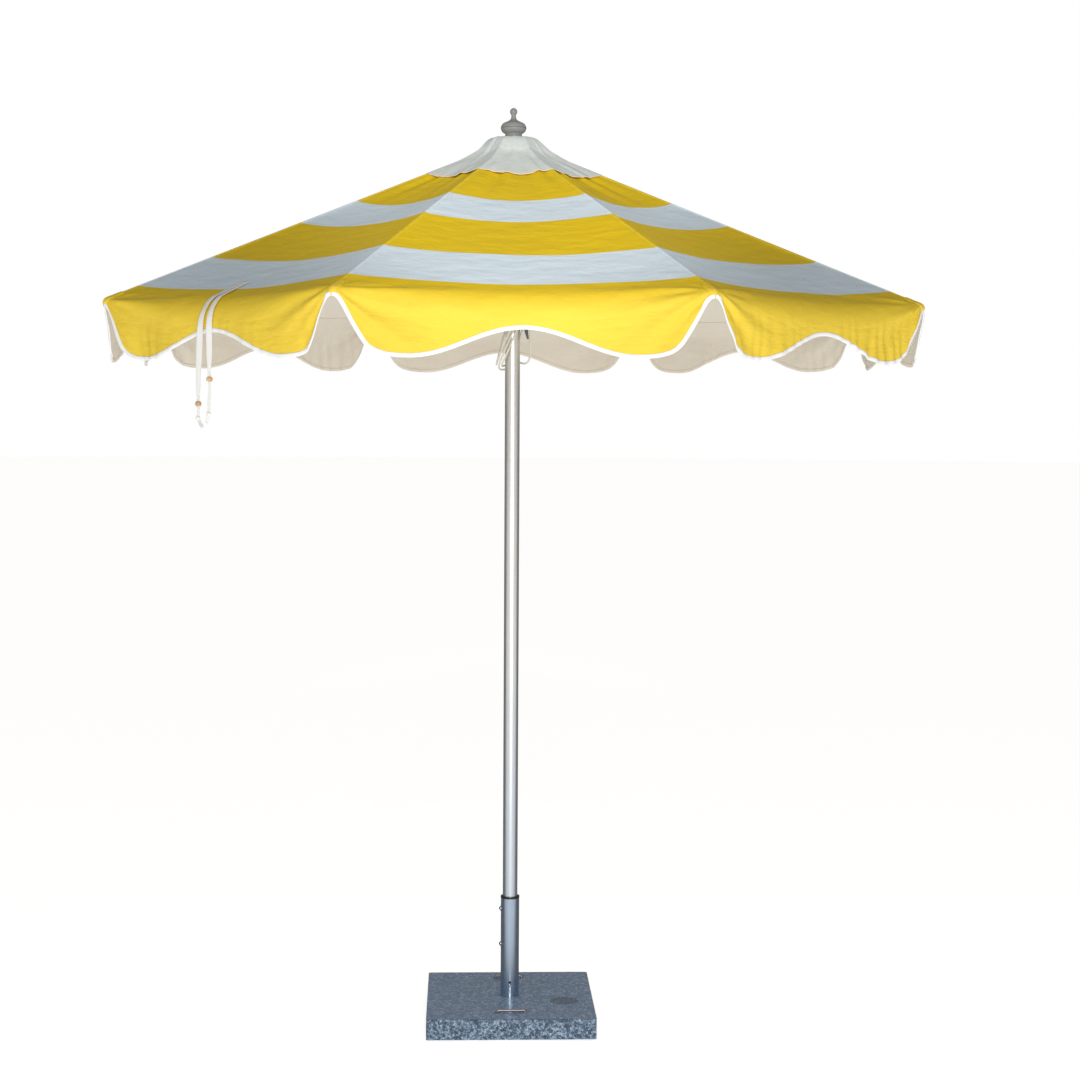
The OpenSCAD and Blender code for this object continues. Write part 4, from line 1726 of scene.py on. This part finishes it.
    def build(self) -> None:
        """Builds the cap."""
        self.crown()
        for k in PANELS:
            self.flap(k)
        LOG.info("vent cap: crown and eight flaps")


@dataclass
class ClosingTapes:
    """The two tapes that tie the closed canopy, with their beads and knots."""

    canopy: Canopy
    finishes: Finishes
    panel: int = 8
    half_thickness: float = 0.0008
    twist: float = math.radians(38)
    # Each route in the panel's frame: out, across, height, half the tape's width, in millimetres
    left: tuple[tuple[float, float, float, float], ...] = (
        (901, -23, 1959, 7.5), (938, -24, 1943, 7.5), (970, -25, 1929, 7.5), (992, -27, 1917, 7.5),
        (1012, -29, 1890, 7.5), (1020, -32, 1858, 7.5), (1021, -36, 1800, 7.5),
        (1021, -40, 1735, 6), (1020, -42, 1685, 4), (1020, -42, 1657, 3), (1020, -43, 1638, 3),
        (1020, -35, 1624, 4), (1020, -26, 1616, 4),
    )
    right: tuple[tuple[float, float, float, float], ...] = (
        (902, -5, 1959, 7.5), (938, -4, 1943, 7.5), (970, -3, 1929, 7.5), (992, -2, 1917, 7.5),
        (1012, -1, 1890, 7.5), (1020, 0, 1858, 7.5), (1021, 1, 1800, 7), (1021, 1, 1745, 4),
        (1020, 1, 1714, 3), (1020, -1, 1690, 3.5), (1020, -3, 1648, 3), (1020, -7, 1637, 4),
        (1020, -12, 1627, 4),
    )

    def to_frame(self, out: float, across: float, height: float) -> Vector:
        """Turns a point of the panel's frame, in millimetres, into the umbrella's."""
        turn = self.canopy.panel_turn(self.panel)
        return mm(
            out * math.cos(turn) - across * math.sin(turn),
            out * math.sin(turn) + across * math.cos(turn),
            height,
        )

    def tape(
        self, name: str, stations: Sequence[tuple[float, ...]]
    ) -> tuple[bpy.types.Object, list[Vector]]:
        """Sweeps one tape.

        Args:
            name: The piece's name.
            stations: Its route.

        Returns:
            The tape, and the points that it follows.
        """
        points = [self.to_frame(*p[:3]) for p in stations]
        route = Bench.smooth_route(points, 0.004, 4)
        ways = [0.0]
        for a, b in zip(points, points[1:]):
            ways.append(ways[-1] + (b - a).length)
        total = ways[-1]

        def half_width(share: float) -> float:
            """Returns half the tape's width at a share along it."""
            at = share * total
            for i in range(len(ways) - 1):
                if at <= ways[i + 1] + 1e-9:
                    t = rise(at, ways[i], ways[i + 1])
                    return (stations[i][3] * (1 - t) + stations[i + 1][3] * t) * 0.001
            return stations[-1][3] * 0.001

        def section(turn: float, share: float) -> Pair:
            """Returns the tape's flat section, with round edges."""
            angle = turn * math.tau
            x, y = math.cos(angle), math.sin(angle)
            thick = self.half_thickness * (0.0075 / max(half_width(share), 0.003)) ** 0.5
            flat = half_width(share) * math.copysign(abs(x) ** 0.45, x)
            high = thick * math.copysign(abs(y) ** 0.6, y)
            twist = -self.twist * rise(share, 0.30, 0.48)
            return (flat * math.cos(twist) - high * math.sin(twist),
                    flat * math.sin(twist) + high * math.cos(twist))

        side = Vector(self.canopy.tangent(self.panel))
        made = Bench.piece(
            Bench.tube(route, section, side, 20, 0.034), name, [self.finishes.webbing]
        )
        return made, route

    def bead(self, name: str, middle: Vector) -> bpy.types.Object:
        """Turns one barrel-shaped wooden bead with a hole through it."""
        profile = [(0.0044, -0.0055), (0.0052, -0.0055), (0.0064, -0.0042), (0.0073, -0.0018),
                   (0.0075, 0.0), (0.0073, 0.0018), (0.0064, 0.0042), (0.0052, 0.0055),
                   (0.0044, 0.0055), (0.0041, 0.0), (0.0044, -0.0055)]
        mesh = Bench.spun(profile, 32)
        bmesh.ops.translate(mesh, verts=mesh.verts, vec=middle)
        return Bench.piece(mesh, name, [self.finishes.wood])

    def knot(self, name: str, middle: Vector) -> bpy.types.Object:
        """Ties one knot: a rounded ball of tape with wraps across it."""
        mesh = bmesh.new()
        mesh.loops.layers.uv.new("cut")
        bmesh.ops.create_uvsphere(mesh, u_segments=28, v_segments=18, radius=0.0055)
        for vert in mesh.verts:
            spot = vert.co.copy()
            wrap = math.sin(spot.z * 900 + spot.x * 420) * 0.0006
            lump = noise.noise(spot * 260) * 0.0009
            vert.co = spot * (1 + (wrap + lump) / 0.0055)
        bmesh.ops.translate(mesh, verts=mesh.verts, vec=middle)
        return Bench.piece(mesh, name, [self.finishes.webbing])

    def build(self) -> None:
        """Builds both tapes."""
        seam = self.canopy.seam_out
        start = self.to_frame((seam - 0.030) * 1000, 0, 1934)
        end = self.to_frame((seam + 0.030) * 1000, 0, 1934)
        for name, stations, bead_at, knot_at, length in (
            ("left", self.left, (1020, -42, 1671), (1020, -43, 1638), 0.416),
            ("right", self.right, (1020.5, 1, 1728), (1020, -3, 1648), 0.399),
        ):
            made, route = self.tape(f"closing_tape_{name}", stations)
            way = sum((b - a).length for a, b in zip(route, route[1:]))
            bead = self.bead(f"tape_bead_{name}", self.to_frame(*bead_at))
            knot = self.knot(f"tape_knot_{name}", self.to_frame(*knot_at))
            for small in (bead, knot):
                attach(small, f"valance_{self.panel}")
            if name == "left":
                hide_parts("tie_tapes")
                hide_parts("tie_beads")
            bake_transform(made)
            tuple(route[0])
            [tuple(p) for p in route]
            LOG.info("closing tape %s: %.3f m", name, way)


# ---- hard parts ----


@dataclass
class Finial:
    """The turned grey knob on top."""

    finish: bpy.types.Material
    foot: float = 2.3825

    def build(self) -> None:
        """Builds the knob."""
        bulb = [(16 + 18 * math.cos(a), 26 + 16 * math.sin(a))
                for a in (math.radians(-62 + 124 * i / 24) for i in range(25))]
        ball = [(9.8 * math.cos(a), 69.2 + 9.8 * math.sin(a))
                for a in (math.radians(-52 + 142 * i / 20) for i in range(21))]
        profile = [(0, 0), (22.6, 0), (23.2, 0.7), (23.2, 5.4), (22.7, 6.4), (22.0, 7.6),
                   (22.0, 9.4), (22.8, 10.6), *bulb[2:14], (34.15, 25.2), (34.15, 27.6), *bulb[14:],
                   (20.2, 42.0), (16.0, 43.9), (12.8, 45.5), (10.2, 47.4), (8.1, 49.6),
                   (6.9, 52.0), (6.3, 55.0), (6.1, 58.0), *ball[1:-1], (0, 79.0)]
        mesh = Bench.spun([(r * 0.001, self.foot + z * 0.001) for r, z in profile])
        made = Bench.piece(mesh, "finial_knob", [self.finish])
        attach(made, "pole")
        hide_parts("finial")
        LOG.info("finial knob")


@dataclass
class HardParts:
    """The CAD nodes that are shown as they are, each with its own finish."""

    finishes: Finishes

    def build(self) -> None:
        """Dresses them."""
        f = self.finishes
        dress(f.granite, "granite_slab")
        dress(f.rubber, "rubber_feet")
        dress(f.tube, "base_tube")
        dress(f.slate, "tube_plug", "cord_cleat", "sheave")
        dress(f.bright, "tube_bolt", "rib_root_pins", "runner_pins", "sheave_axle")
        dress(f.handle, "handle_front", "handle_back")
        dress(f.black, "reducer_sleeve", "pole_foot_cap")
        dress(f.dark, "clamp_screw_upper", "clamp_screw_lower")
        dress(f.pole, "pole_tube")
        dress(f.white, "top_hub", "runner")
        dress(f.grey, "finial")
        dress(f.ribs, *[f"rib_{k}" for k in PANELS], *[f"strut_{k}" for k in PANELS])


def main() -> None:
    """Builds the umbrella's looks in order."""
    logging.basicConfig(level=logging.INFO, format="%(name)s: %(message)s")
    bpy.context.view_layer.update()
    Studio().build()
    finishes = Finishes()
    HoistCord().build(finishes)
    canopy = Canopy()
    ClosingTapes(canopy, finishes).build()
    PanelCloth(canopy, finishes).build()
    RibSeams(canopy, finishes).build()
    VentCap(canopy, finishes).build()
    Finial(finishes.grey).build()
    HardParts(finishes).build()
    LOG.info("sizes written")


if __name__ == "__main__":
    main()
